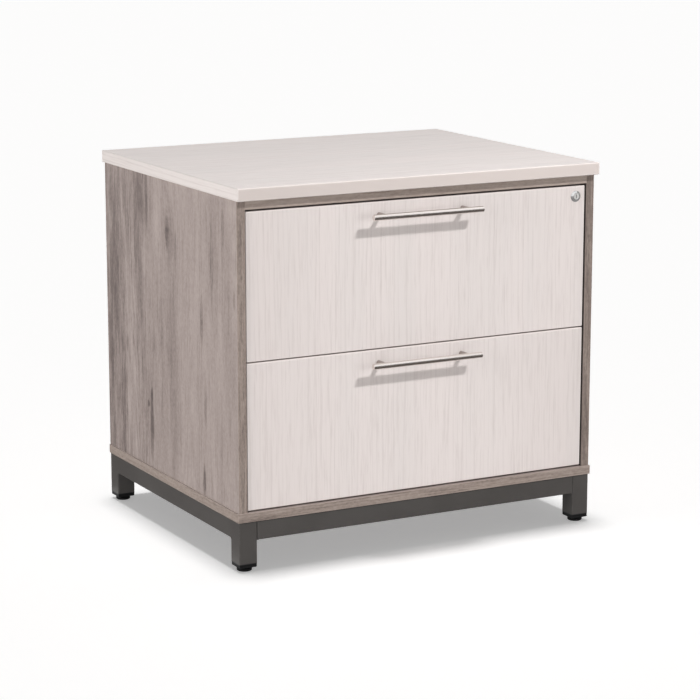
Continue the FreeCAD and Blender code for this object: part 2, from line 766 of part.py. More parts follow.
def outer_slides():
    members = []
    for side in sides:
        for drawer in drawers:
            name = f"{drawer}_{side}_outer_slide"
            member = channel(name + "_strip", side, slide_centre(drawer), "0", "outer_to", "near",
                             "outer_half", "slide_sheet", "slide_start", "slide_long")
            spots = [spot for spot in outer_slide_spots(side) if spot[2] == slide_centre(drawer)]
            tools = holes(name + "_hole", spots, "pan_radius + screw_clear", "slide_sheet")
            members.append(cut(name, member, tools))
    finish(group("outer_slides", members), "outer_slides")


def middle_slides(drawer):
    members = [channel(f"{drawer}_{side}_middle_slide", side, slide_centre(drawer), "middle_from",
                       "middle_to", "near", "middle_half", "slide_sheet", "slide_start", "slide_long")
               for side in sides]
    finish(group(f"{drawer}_middle_slides", members), f"{drawer}_middle_slides")


def inner_slide_spots(drawer, side):
    at = mirrored(side, "box_out + slide_sheet")
    return [(at, y, slide_centre(drawer), inward_turn[side]) for y in slide_rows()]


def inner_slides(drawer):
    members = []
    for side in sides:
        name = f"{drawer}_{side}_inner_slide"
        member = channel(name + "_strip", side, slide_centre(drawer), "inner_from", "slide_thick", "far",
                         "inner_half", "slide_sheet", "slide_start", "slide_long")
        tools = holes(name + "_hole", inner_slide_spots(drawer, side), "pan_radius + screw_clear",
                      "slide_sheet")
        members.append(cut(name, member, tools))
    finish(group(f"{drawer}_inner_slides", members), f"{drawer}_inner_slides")


def ball(name, side, depth, y, z):
    thing = doc.addObject("Part::Sphere", name)
    bind(thing, Radius="ball_dia / 2")
    return place(thing, (mirrored(side, f"side_in - ({depth})"), y, z))


def ball_cages(drawer, which):
    near, far, half, depth = {
        "outer": ("outer_cage_from", "outer_to - cage_short", "middle_half + race / 2",
                  "(middle_from + outer_to) / 2"),
        "inner": ("inner_cage_from", "middle_to - cage_short", "inner_half + race / 2",
                  "(inner_from + middle_to) / 2"),
    }[which]
    label = f"{drawer}_{which}_ball_cages"
    ball_count = 6
    cages = []
    for side in sides:
        name = f"{drawer}_{side}_{which}_cage"
        centre = slide_centre(drawer)
        strip = channel(name + "_strip", side, centre, near, far, "near", f"{half} + cage_sheet / 2",
                        "cage_sheet", "cage_start", "cage_long")
        balls = []
        for i in range(ball_count):
            y = f"cage_start + {i + 0.5} * cage_long / {ball_count}"
            for row, sign in (("upper", "+"), ("lower", "-")):
                balls.append(ball(f"{name}_{row}_ball_{i}", side, depth, y, f"{centre} {sign} ({half})"))
        cages.append(fuse(name, [strip] + balls))
    finish(group(label, cages), label)


# Drawers. Heights are measured from the lower edge of the drawer's box.

def box_foot(drawer):
    return f"{drawers[drawer]} + box_below"


def handle_spots(drawer):
    up = f"{drawers[drawer]} + front_high - pull_down"
    return [(x, "front_rear", up, "-y") for x in ("-pull_centres / 2", "pull_centres / 2")]


def front_screw_spots(drawer):
    rows = (f"{box_foot(drawer)} + 2 * box_screw_in", f"{box_foot(drawer)} + box_high - box_screw_in")
    return [(mirrored(side, "box_in - 2 * box_screw_in"), "front_rear + box_thick", up, "-y")
            for side in sides for up in rows]


def corner_screw_spots(drawer, side):
    rows = (f"{box_foot(drawer)} + box_screw_in", f"{box_foot(drawer)} + box_high - box_screw_in")
    ends = ("front_rear + box_thick / 2", "box_rear - box_thick / 2")
    return [(mirrored(side, "box_out"), y, up, inward_turn[side]) for y in ends for up in rows]


def tray_groove(name, drawer):
    """The space that the drawer bottom and its slot clearance take out of the box walls."""
    half = "box_in + groove_deep"
    at = (f"-({half})", "front_rear + box_thick - groove_deep", f"{box_foot(drawer)} + tray_up")
    return block(name, at,
                 (f"2 * ({half})", "box_deep - 2 * (box_thick - groove_deep)", "tray_thick + fit_clear"))


def drawer_front(drawer):
    label = f"{drawer}_drawer_front"
    panel = slab(label + "_blank", ("-front_half", "front_face", drawers[drawer]),
                 ("2 * front_half", "front_thick", "front_high"), "front_round", every_edge)
    tools = holes(label + "_handle", handle_spots(drawer), "handle_screw + screw_clear", "front_thick")
    bite = "box_screw_long - box_thick + screw_clear"
    spots = [(x, "front_rear", z, along) for x, y, z, along in front_screw_spots(drawer)]
    tools += holes(label + "_pilot", spots, "wood_radius + screw_clear", bite)
    if drawer == "upper":
        tools.append(rod("lock_hole", ("lock_at", "front_face", "lock_up"), "+y",
                         "barrel_radius + fit_clear", "front_thick"))
    finish(cut(label, panel, tools), label)


def box_end(drawer, end):
    """The front or back wall of the drawer box, between its sides."""
    label = f"{drawer}_box_{end}"
    near = "front_rear" if end == "front" else "box_rear - box_thick"
    foot_at = box_foot(drawer)
    wall = block(label + "_blank", ("-box_in", near, foot_at), ("2 * box_in", "box_thick", "box_high"))
    tools = [tray_groove(label + "_groove", drawer)]
    notch_from = f"{foot_at} + box_high + rod_up - rod_high"
    for side in sides:
        x = outward(side, "rod_at - rod_thick / 2 - fit_clear", "rod_at + rod_thick / 2 + fit_clear")[0]
        tools.append(block(f"{label}_{side}_notch", (x, near, notch_from),
                           ("rod_thick + 2 * fit_clear", "box_thick", "rod_high")))
        row = 0 if end == "front" else 2
        spots = [(mirrored(side, "box_in"),) + spot[1:]
                 for spot in corner_screw_spots(drawer, side)[row:row + 2]]
        tools += holes(f"{label}_{side}_pilot", spots, "wood_radius + screw_clear",
                       "box_screw_long - box_thick + screw_clear")
    if end == "front":
        tools += holes(label + "_through", front_screw_spots(drawer), "wood_radius + screw_clear",
                       "box_thick")
    finish(cut(label, wall, tools), label)


def box_side(drawer, side):
    label = f"{drawer}_box_{side}_side"
    start, thick = outward(side, "box_in", "box_out")
    wall = block(label + "_blank", (start, "front_rear", box_foot(drawer)), (thick, "box_deep", "box_high"))
    tools = [tray_groove(label + "_groove", drawer)]
    tools += holes(label + "_corner", corner_screw_spots(drawer, side), "wood_radius + screw_clear",
                   "box_thick")
    spots = [(mirrored(side, "box_out"),) + spot[1:] for spot in inner_slide_spots(drawer, side)]
    tools += holes(label + "_slide_pilot", spots, "pan_radius + screw_clear",
                   "pan_long - slide_sheet + screw_clear")
    finish(cut(label, wall, tools), label)


def box_bottom(drawer):
    half = "box_in + groove_deep - fit_clear"
    label = f"{drawer}_box_bottom"
    near = "front_rear + box_thick - groove_deep + fit_clear"
    long = "box_deep - 2 * (box_thick - groove_deep + fit_clear)"
    finish(block(label, (f"-({half})", near, f"{box_foot(drawer)} + tray_up"),
                 (f"2 * ({half})", long, "tray_thick")), label)


def handle(drawer):
    label = f"{drawer}_handle"
    bar = turned(label + "_bar", [
        ("0", "0"), ("pull_radius - pull_bevel", "0"), ("pull_radius", "pull_bevel"),
        ("pull_radius", "pull_long - pull_bevel"), ("pull_radius - pull_bevel", "pull_long"),
        ("0", "pull_long")])
    up = f"{drawers[drawer]} + front_high - pull_down"
    place(bar, ("-pull_long / 2", "front_face - pull_out + pull_radius", up), "+x")
    posts = []
    threads = []
    for count, (x, y, z, along) in enumerate(handle_spots(drawer)):
        seat = (x, "front_face", z)
        posts.append(rod(f"{label}_post_{count}", seat, along, "post_radius", "pull_out - pull_radius"))
        threads.append(rod(f"{label}_thread_{count}", seat, along, "handle_screw + screw_clear",
                           "post_thread"))
    finish(cut(label, fuse(label + "_whole", [bar] + posts), threads), label)


def file_rods(drawer):
    label = f"{drawer}_file_rods"
    low = f"{box_foot(drawer)} + box_high + rod_up - rod_high"
    rods = []
    for side in sides:
        start, thick = outward(side, "rod_at - rod_thick / 2", "rod_at + rod_thick / 2")
        rods.append(block(f"{label}_{side}", (start, "front_rear + fit_clear", low),
                          (thick, "box_deep - fit_clear", "rod_high")))
    finish(group(label, rods), label)


def file_glides(drawer):
    label = f"{drawer}_file_glides"
    edge = f"{box_foot(drawer)} + box_high"
    y = "front_rear + box_thick + glide_end"
    long = "box_deep - 2 * (box_thick + glide_end)"
    inner = "box_in - fit_clear"
    outer = "box_out + fit_clear"
    strips = {
        "cap": (f"{inner} - glide_wall", f"{outer} + glide_wall", edge, "glide_wall"),
        "inner_leg": (f"{inner} - glide_wall", inner, f"{edge} - glide_drop", "glide_drop"),
        "outer_leg": (outer, f"{outer} + glide_wall", f"{edge} - glide_drop", "glide_drop"),
        "rib": (f"{inner} - glide_wall", inner, f"{edge} + glide_wall", "glide_rib"),
    }
    glides = []
    for side in sides:
        blocks = []
        for part, (near, far, low, high) in strips.items():
            x, wide = outward(side, near, far)
            blocks.append(block(f"{label}_{side}_{part}", (x, y, low), (wide, long, high)))
        glides.append(fuse(f"{label}_{side}", blocks))
    finish(group(label, glides), label)


# Lock of the upper drawer. Its axis runs along +Y, into the cabinet.

def lock_barrel():
    bore = "plug_radius + plug_clear"
    land = f"{bore} + face_land"
    cone_foot = "face_high - face_rim"
    end = "face_high + barrel_long"
    body = turned("lock_barrel", [
        (bore, "0"), (land, "0"), ("face_radius", cone_foot), ("face_radius", "face_high"),
        ("barrel_radius", "face_high"), ("barrel_radius", end), (bore, end)])
    cone_edges = [(0, 2 * number(land)), (number(cone_foot), 2 * number("face_radius"))]

    def on_cone(box):
        return any(abs(box.ZMax - up) < 0.01 and abs(box.XLength - wide) < 0.01 for up, wide in cone_edges)

    dress(body, "Fillet", body.Tip, on_cone, Radius="face_round")
    finish(place(body, ("lock_at", "front_face - face_high", "lock_up"), "+y"), "lock_barrel")


def lock_nut():
    at = ("lock_at", "front_rear", "lock_up")
    nut = hexagon("lock_nut_blank", at, "+y", "nut_radius", "nut_thick")
    hole = rod("lock_nut_hole", at, "+y", "barrel_radius + screw_clear", "nut_thick")
    finish(cut("lock_nut", nut, [hole]), "lock_nut")


def lock_plug():
    face = "front_face - face_high - plug_proud"
    drum = rod("plug_drum", ("lock_at", face, "lock_up"), "+y", "plug_radius",
               "plug_proud + face_high + barrel_long + cam_gap")
    tail = block("plug_tail", ("lock_at - tail_wide / 2", "cam_front", "lock_up - tail_wide / 2"),
                 ("tail_wide", "cam_thick", "tail_wide"))
    slot = block("key_slot", ("lock_at - key_wide / 2", face, "lock_up - key_high / 2"),
                 ("key_wide", "key_deep", "key_high"))
    thread = rod("plug_thread", ("lock_at", "cam_front + cam_thick", "lock_up"), "-y",
                 "handle_screw + screw_clear", "plug_bore")
    finish(cut("lock_plug", fuse("plug_whole", [drum, tail]), [slot, thread]), "lock_plug")


def lock_cam():
    low = "lock_up - cam_wide / 2"
    plate = slab("cam_plate", ("lock_at - cam_reach", "cam_front", low),
                 ("cam_reach + cam_tail", "cam_thick", "cam_wide"), "cam_round",
                 long_in_y)
    hole = block("cam_hole", ("lock_at - tail_wide / 2 - screw_clear", "cam_front",
                              "lock_up - tail_wide / 2 - screw_clear"),
                 ("tail_wide + 2 * screw_clear", "cam_thick", "tail_wide + 2 * screw_clear"))
    finish(cut("lock_cam", plate, [hole]), "lock_cam")


def lock_strike():
    plate = block("strike_plate", ("slot_from - strike_end", "slot_front - strike_side",
                                   "subtop_under - strike_thick"),
                  ("slot_to - slot_from + 2 * strike_end", "slot_deep + 2 * strike_side", "strike_thick"))
    slot = block("strike_slot", ("slot_from", "slot_front", "subtop_under - strike_thick"),
                 ("slot_to - slot_from", "slot_deep", "strike_thick"))
    tools = holes("strike_hole", strike_spots(), "pan_radius + screw_clear", "strike_thick")
    finish(cut("lock_strike", plate, [slot] + tools), "lock_strike")


# Fasteners.

def fasteners():
    pan = crossed_screw("pan_screw", "pan_radius", "pan_head", "pan_head_high", "pan_long")
    box = crossed_screw("box_screw", "wood_radius", "wood_head", "wood_head_high", "box_screw_long")
    top = crossed_screw("top_screw", "wood_radius", "wood_head", "wood_head_high", "top_screw_long")
    base = socket_bolt("base_bolt", "rail_high + base_bolt_bite")
    rail = socket_bolt("rail_bolt", "rail_bolt_long")
    grip = crossed_screw("handle_bolt", "handle_screw", "handle_head", "handle_head_high",
                         "front_thick + handle_screw_bite")
    cam = crossed_screw("cam_bolt_small", "handle_screw", "handle_head", "handle_head_high",
                        "handle_screw_bite")

    def fasten(label, master, spots, head_high):
        finish(copies(label, master, backed_off(spots, head_high)), label)

    outer = outer_slide_spots("left") + outer_slide_spots("right")
    fasten("cabinet_screws", pan, all_back_screws() + outer + strike_spots(), "pan_head_high")
    fasten("top_screws", top, top_screw_spots(), "wood_head_high")
    fasten("base_bolts", base, base_bolt_spots("left") + base_bolt_spots("right"), "bolt_head_high")
    ends = [spot for side in sides for y in rail_bolt_rows.values() for spot in rail_bolt_spots(side, y)]
    fasten("rail_bolts", rail, ends, "bolt_head_high")
    for drawer in drawers:
        inner = inner_slide_spots(drawer, "left") + inner_slide_spots(drawer, "right")
        fasten(f"{drawer}_slide_screws", pan, inner, "pan_head_high")
        corners = corner_screw_spots(drawer, "left") + corner_screw_spots(drawer, "right")
        fasten(f"{drawer}_box_screws", box, corners + front_screw_spots(drawer), "wood_head_high")
        fasten(f"{drawer}_handle_screws", grip, handle_spots(drawer), "handle_head_high")
    fasten("lock_cam_screw", cam, [("lock_at", "cam_front + cam_thick", "lock_up", "-y")],
           "handle_head_high")


def joined_panels():
    """The cam fittings in their panels and the bolts that they draw."""
    drum = cam_fitting()
    bolt = cam_bolt()
    drums = []
    bolts = []
    directions = {"left": Vector(-1, 0, 0), "right": Vector(1, 0, 0)}
    down = Vector(0, 0, -1)
    up = Vector(0, 0, 1)
    for side in sides:
        out = directions[side]
        for count, y in enumerate(fitting_rows()):
            name = f"{side}_{count}"
            level = (mirrored(side, "side_in - fitting_edge"), y, "subtop_under")
            drums.append(link_drum(f"level_fitting_{name}", drum, level, out, up))
            upright = (mirrored(side, "side_in"), y, "case_floor + fitting_edge")
            drums.append(link_drum(f"upright_fitting_{name}", drum, upright, down, out))
            spot = (mirrored(side, "side_in - fitting_edge + link_gap"), y, "subtop_under + link_axis")
            bolts.append(spot + (outward_turn[side],))
            spot = (mirrored(side, "side_in + link_axis"), y, "case_floor + fitting_edge - link_gap")
            bolts.append(spot + ("-z",))
    finish(group("cam_fittings", drums), "cam_fittings")
    finish(copies("cam_bolts", bolt, bolts), "cam_bolts")


def link_drum(name, master, at, bolt_way, drum_way):
    """A cam fitting whose hole faces along bolt_way and whose drum sinks in along drum_way."""
    thing = doc.addObject("App::Link", name)
    thing.LinkedObject = master
    place(thing, at)
    across = drum_way.cross(bolt_way)
    thing.Placement = Placement(thing.Placement.Base, Rotation(bolt_way, across, drum_way, "ZXY"))
    return thing


def check_and_write():
    doc.recompute()
    failed = [item.Name for item in doc.Objects if "Invalid" in item.State or "Error" in item.State]
    if failed:
        raise RuntimeError("failed to build: " + ", ".join(failed))
    for piece in pieces:
        if piece.Shape.isNull() or not piece.Shape.isValid():
            raise RuntimeError("no valid shape: " + piece.Label)
    os.makedirs("parts", exist_ok=True)
    for piece in pieces:
        piece.Shape.exportStep(f"parts/{piece.Label}.step")
    print(len(pieces), "sub-parts written")


def main():
    fill_sheet()
    top_panel()
    sub_top_panel()
    bottom_panel()
    back_panel()
    for side in sides:
        side_panel(side)
        leg_frame(side)
    for end in rail_bolt_rows:
        base_rail(end)
    leg_end_caps()
    for name in leg_places:
        foot(name)
    outer_slides()
    for drawer in drawers:
        middle_slides(drawer)
        inner_slides(drawer)
        ball_cages(drawer, "outer")
        ball_cages(drawer, "inner")
        drawer_front(drawer)
        for end in ("front", "back"):
            box_end(drawer, end)
        for side in sides:
            box_side(drawer, side)
        box_bottom(drawer)
        handle(drawer)
        file_rods(drawer)
        file_glides(drawer)
    lock_barrel()
    lock_nut()
    lock_plug()
    lock_cam()
    lock_strike()
    joined_panels()
    fasteners()
    check_and_write()


main()
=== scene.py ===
import bpy
import math
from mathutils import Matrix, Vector


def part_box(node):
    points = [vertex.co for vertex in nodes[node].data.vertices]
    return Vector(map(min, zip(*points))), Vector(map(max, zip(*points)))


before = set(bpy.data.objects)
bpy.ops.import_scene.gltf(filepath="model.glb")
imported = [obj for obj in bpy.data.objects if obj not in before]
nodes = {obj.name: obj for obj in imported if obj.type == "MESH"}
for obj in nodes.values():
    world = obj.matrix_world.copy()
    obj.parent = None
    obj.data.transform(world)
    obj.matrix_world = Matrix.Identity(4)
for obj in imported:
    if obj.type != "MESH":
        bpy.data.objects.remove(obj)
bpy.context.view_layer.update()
scene = bpy.context.scene
scene.view_settings.view_transform = "Standard"
print("frame loaded:", len(nodes), "pieces")


class Wire:  # one socket; sums written on it add Math nodes
    def __init__(self, tree, socket=None):
        self.tree = tree
        self.socket = socket

    def node(self, kind, settings=None, inputs=None, output=0):
        made = self.tree.nodes.new("ShaderNode" + kind)
        for name, value in (settings or {}).items():
            if name == "stops":  # places and colours of a ramp
                marks = made.color_ramp.elements
                while len(marks) < len(value):
                    marks.new(1.0)
                for mark, (at, colour) in zip(marks, value):
                    mark.position = at
                    mark.color = colour
            else:
                setattr(made, name, value)
        for name, value in (inputs or {}).items():
            if isinstance(value, Wire):
                self.tree.links.new(value.socket, made.inputs[name])
            else:
                made.inputs[name].default_value = value
        return Wire(self.tree, made.outputs[output] if made.outputs else None)

    def other(self, output):  # a second output of the same node
        return Wire(self.tree, self.socket.node.outputs[output])

    def sum(self, operation, *values):
        return self.node("Math", {"operation": operation}, dict(enumerate(values)))

    def __add__(self, other):
        return self.sum("ADD", self, other)

    def __radd__(self, other):
        return self.sum("ADD", other, self)

    def __sub__(self, other):
        return self.sum("SUBTRACT", self, other)

    def __rsub__(self, other):
        return self.sum("SUBTRACT", other, self)

    def __mul__(self, other):
        return self.sum("MULTIPLY", self, other)

    def __rmul__(self, other):
        return self.sum("MULTIPLY", other, self)

    def __truediv__(self, other):
        return self.sum("DIVIDE", self, other)

    def __rtruediv__(self, other):
        return self.sum("DIVIDE", other, self)

    def __gt__(self, other):
        return self.sum("GREATER_THAN", self, other)

    def __abs__(self):
        return self.sum("ABSOLUTE", self)


def tint(red, green, blue):  # screen colour to the shader's own scale
    def straight(level):
        level = level / 255
        return level / 12.92 if level <= 0.04045 else ((level + 0.055) / 1.055) ** 2.4
    return straight(red), straight(green), straight(blue), 1.0


def least(first, second):
    return first.sum("MINIMUM", first, second)


def most(first, second):
    return first.sum("MAXIMUM", first, second)


def ease(value, low, high, start=0.0, end=1.0):
    return value.node("MapRange", {"interpolation_type": "SMOOTHSTEP"},
                      {"Value": value, "From Min": low, "From Max": high, "To Min": start, "To Max": end})


def blend(mask, first, second, kind="MIX"):
    return mask.node("Mix", {"data_type": "RGBA", "blend_type": kind}, {0: mask, 6: first, 7: second}, 2)


def weighted(parts, weights):  # the named parts, each times its weight, added up
    total, *rest = (parts[name] * weight for name, weight in weights.items())
    for part in rest:
        total = total + part
    return total


def split(place):
    first = place.node("SeparateXYZ", None, {0: place})
    return dict(zip("xyz", (first, first.other(1), first.other(2))))


def join(x, y, z):
    start = next(value for value in (x, y, z) if isinstance(value, Wire))
    return start.node("CombineXYZ", None, {0: x, 1: y, 2: z})


def moved(place, step):
    return place.node("VectorMath", {"operation": "ADD"}, {0: place, 1: step})


# noise recipes: scale or three scales, detail, roughness, step of the seed, and a range if it is a mask
halfway = 0.5  # middle level of a noise
seedSpread = (1.0, 1.7, 0.6)


def layer(place, recipe, seed=0.0):
    scales, detail, rough, step, *mask = recipe
    if isinstance(scales, float):
        scales = (scales, scales, scales)
    shift = tuple((seed + step) * spread for spread in seedSpread)
    spot = place.node("VectorMath", {"operation": "MULTIPLY_ADD"}, {0: place, 1: scales, 2: shift})
    made = spot.node("TexNoise", {"noise_dimensions": "3D"},
                     {"Vector": spot, "Scale": 1.0, "Detail": detail, "Roughness": rough}, "Fac")
    return ease(made, *mask) if mask else made


def swing(place, recipe, seed=0.0):  # a noise that goes both ways from zero
    return layer(place, recipe, seed) - halfway


def bumpFrom(height, depth):
    return height.node("Bump", None, {"Strength": 1.0, "Distance": depth, "Height": height})


def objectPlace(start):
    return start.node("TexCoord", None, None, "Object")


endFacing = 0.7  # a face that looks this far along the grain is a short end


def boardPlace(start, along, thick):  # x across the grain, z along it; short ends run along their own length
    wide = ({"x", "y", "z"} - {along, thick}).pop()
    spot = objectPlace(start)
    at = split(spot)
    facing = split(spot.other("Normal"))
    board = join(at[wide], at[thick], at[along])
    ends = join(at[thick], at[along], at[wide])
    onEnd = abs(facing[along]) > endFacing
    return start.node("Mix", {"data_type": "VECTOR"}, {0: onEnd, 4: board, 5: ends}, 1)


def edgeDistance(start, corners):  # how far a point of a boxy piece is from its nearest edge
    at = split(objectPlace(start))
    gaps = []
    for axis, low, high in zip("xyz", *corners):
        gaps.append((high - low) / 2 - abs(at[axis] - (high + low) / 2))
    smaller = least(gaps[0], gaps[1])
    larger = most(gaps[0], gaps[1])
    return most(smaller, least(larger, gaps[2]))


def newFinish(name):
    material = bpy.data.materials.new(name)
    material.use_nodes = True
    material.node_tree.nodes.clear()
    return material, Wire(material.node_tree)


def closeFinish(start, **sockets):
    sockets = {name.replace("_", " "): value for name, value in sockets.items()}
    shader = start.node("BsdfPrincipled", None, sockets)
    start.node("OutputMaterial", None, {"Surface": shader})


def wear(name, material):
    slots = nodes[name].data.materials
    slots.clear()
    slots.append(material)


# pale laminate of the top and the drawer fronts
paleLaminate = {
    "light": tint(231, 222, 219), "shade": tint(228, 220, 217), "line": tint(190, 178, 174),
    "pore": tint(204, 193, 188), "edge": tint(240, 232, 228), "band": tint(180, 170, 165),
    "ends": tint(225, 217, 213), "roughness": 0.46, "gloss": 0.3, "bump": 0.00012,
    "noise": {
        "sway": ((4.0, 4.0, 1.1), 2.0, 0.5, 0),
        "wobble": ((34.0, 34.0, 13.0), 2.0, 0.5, 5),
        "jitter": ((26.0, 26.0, 0.9), 1.0, 0.5, 1),
        "breaks": ((80.0, 80.0, 7.0), 3.0, 0.6, 7, 0.34, 0.60, 0.25, 1.0),
        "drift": ((11.0, 11.0, 0.8), 2.0, 0.5, 3, 0.36, 0.64),
        "fine": ((230.0, 230.0, 12.0), 3.0, 0.65, 9),
        "pores": ((640.0, 640.0, 16.0), 2.0, 0.6, 11, 0.60, 0.74),
    },
    "bend": {"sway": 0.016, "wobble": 0.0034},  # metres sideways
    "pitch": 0.0114, "jitter": 2.6,  # width of a ring in metres, and its stray in rings
    "darkens": (0.56, 0.86), "clears": (0.90, 0.99, 1.0, 0.0),  # parts of a ring
    "faintest": 0.25, "lineDepth": 0.31, "fineRange": (0.46, 0.74), "fineDepth": 0.26, "poreDepth": 0.20,
    "paintedEndShadeRange": (0.12, 0.40), "frontFacing": (-0.9, -0.6), "endFacing": (0.6, 0.9),
    # a band along every edge in its own colour: painted highlight on the fronts, and on the top a darker painted band
    # that tones its lit edge down
    "edgeWearAndPaintedLightRange": (0.0008, 0.0036, 1.0, 0.0), "edgeWearAndPaintedLightDepth": 0.75,
    "roughBy": {"fine": 0.16, "lines": 0.05, "edgeWearAndPaintedLight": -0.06},
    "heightBy": {"fine": 0.5, "lines": -0.4, "pores": -0.3},
}


def laminateFinish(name, piece, along, thick, seed, banded=0.0, paintedEndShades=(), settings=paleLaminate):
    material, start = newFinish(name)
    place = boardPlace(start, along, thick)
    recipes = settings["noise"]
    strays = {part: swing(place, recipes[part], seed) for part in settings["bend"]}
    bent = moved(place, join(weighted(strays, settings["bend"]), 0.0, 0.0))
    across = split(bent)["x"] / settings["pitch"] + swing(bent, recipes["jitter"], seed) * settings["jitter"]
    ring = across.sum("FLOOR", across)
    turn = across - ring  # from the start of a ring to its dark end
    depth = ring.node("TexWhiteNoise", {"noise_dimensions": "1D"}, {"W": ring + seed}, "Value")
    late = ease(turn, *settings["darkens"]) * ease(turn, *settings["clears"])
    strength = settings["faintest"] + depth * depth * (1.0 - settings["faintest"])
    lines = late * layer(bent, recipes["breaks"], seed) * strength
    fine = layer(bent, recipes["fine"], seed)
    pores = layer(bent, recipes["pores"], seed)
    tone = blend(layer(place, recipes["drift"], seed), settings["light"], settings["shade"])
    for side, endShade in zip((-1.0, 1.0), paintedEndShades):  # painted shade: the fronts are darker towards their ends
        outward = split(objectPlace(start))["x"] * side
        tone = blend(ease(outward, *settings["paintedEndShadeRange"], 0.0, endShade), tone, settings["line"])
    facing = split(objectPlace(start).other("Normal"))
    onFront = ease(facing["y"], *settings["frontFacing"], banded, 0.0)  # the front edge carries a greyer band
    onEnds = ease(abs(facing["x"]), *settings["endFacing"], 0.0, banded)
    tone = blend(onFront, tone, settings["band"])
    tone = blend(onEnds, tone, settings["ends"])
    tone = blend(lines * settings["lineDepth"], tone, settings["line"])
    tone = blend(ease(fine, *settings["fineRange"]) * settings["fineDepth"], tone, settings["line"])
    tone = blend(pores * settings["poreDepth"], tone, settings["pore"])
    # edges of the fronts get a painted highlight band; on the top the band is darker, toning down its lit rounded
    # edge
    edgeWearAndPaintedLight = ease(edgeDistance(start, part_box(piece)), *settings["edgeWearAndPaintedLightRange"])
    tone = blend(edgeWearAndPaintedLight * settings["edgeWearAndPaintedLightDepth"], tone, settings["edge"])
    unevenness = weighted({"fine": fine - halfway, "lines": lines, "edgeWearAndPaintedLight": edgeWearAndPaintedLight}, settings["roughBy"])
    height = weighted({"fine": fine, "lines": lines, "pores": pores}, settings["heightBy"])
    closeFinish(start, Base_Color=tone, Roughness=settings["roughness"] + unevenness,
                Specular_IOR_Level=settings["gloss"], Normal=bumpFrom(height, settings["bump"]))
    wear(piece, material)


# weathered grey oak of the sides, the back, the bottom and the sub-top
greyOak = {
    "tones": [(0.0, tint(87, 78, 76)), (0.28, tint(128, 116, 112)), (0.5, tint(159, 146, 141)),
              (0.72, tint(178, 165, 160)), (1.0, tint(197, 185, 180))],
    "middle": 0.605, "edgeDrop": 0.15, "edgeTint": (1.0, 0.984, 0.932, 1.0), "edgeWearAndPaintedLight": tint(172, 157, 147),
    "inside": tint(40, 35, 33), "roughness": 0.52, "gloss": 0.3, "bump": 0.0002,
    "noise": {
        "sway": ((5.0, 5.0, 1.4), 2.0, 0.5, 0),
        "curl": ((22.0, 22.0, 8.0), 2.0, 0.5, 1),
        "fray": ((70.0, 70.0, 26.0), 2.0, 0.5, 3),
        "bands": ((14.0, 14.0, 1.3), 2.0, 0.5, 2),
        "stripes": ((52.0, 52.0, 3.2), 3.0, 0.6, 4),
        "feather": ((96.0, 96.0, 13.0), 5.0, 0.74, 5),
        "fibres": ((720.0, 720.0, 130.0), 3.0, 0.65, 6),
        "flecks": ((210.0, 210.0, 120.0), 3.0, 0.65, 18),
        "edgeLines": ((330.0, 330.0, 2.4), 2.0, 0.6, 16),
        "hairs": ((230.0, 230.0, 8.0), 3.0, 0.6, 14, 0.50, 0.68),
        "ticks": ((200.0, 200.0, 26.0), 2.0, 0.6, 8, 0.60, 0.78),
        "pores": ((1100.0, 1100.0, 60.0), 2.0, 0.5, 10, 0.60, 0.76),
        "hills": ((7.0, 7.0, 0.9), 1.0, 0.4, 12),
    },
    "bend": {"sway": 0.034, "curl": 0.014, "fray": 0.006},  # metres sideways
    "swings": ("bands", "stripes", "feather", "fibres", "flecks", "edgeLines"),
    "masks": ("hairs", "ticks", "pores"),
    "arches": 24.0, "archRange": (-0.06, 0.12),  # flat-sawn arches, and the bands that show them
    "levelBy": {"bands": 0.74, "stripes": 0.24, "feather": 0.32, "fibres": 0.30, "flecks": 0.34, "hairs": -0.10,
                "arches": -0.11, "ticks": -0.10, "pores": -0.06},
    "streakSway": 0.02, "streakCurl": 0.9,  # metres, and half widths of the streak
    "fringe": {"feather": 1.0, "stripes": 0.4}, "fringeRange": (-0.18, 0.18, 0.95, 0.40),
    "edgeFacing": (0.4, 0.7, 1.0, 0.0), "edgeBy": {"bands": 0.5, "ticks": 0.1, "edgeLines": 0.42},
    # painted shade of the inside faces, for the dark gaps round the drawers
    "insideFacing": (0.5, 0.9), "insideDepth": 0.86,
    # a lighter line along the edges: edge wear and a painted highlight
    "edgeWearAndPaintedLightRange": (0.0, 0.0016, 1.0, 0.0), "edgeWearAndPaintedLightDepth": 0.4,
    "roughBy": {"fibres": 0.2, "pores": 0.06},
    "heightBy": {"fibres": 0.6, "feather": 0.4, "pores": -0.6, "ticks": -0.3, "arches": -0.1},
}
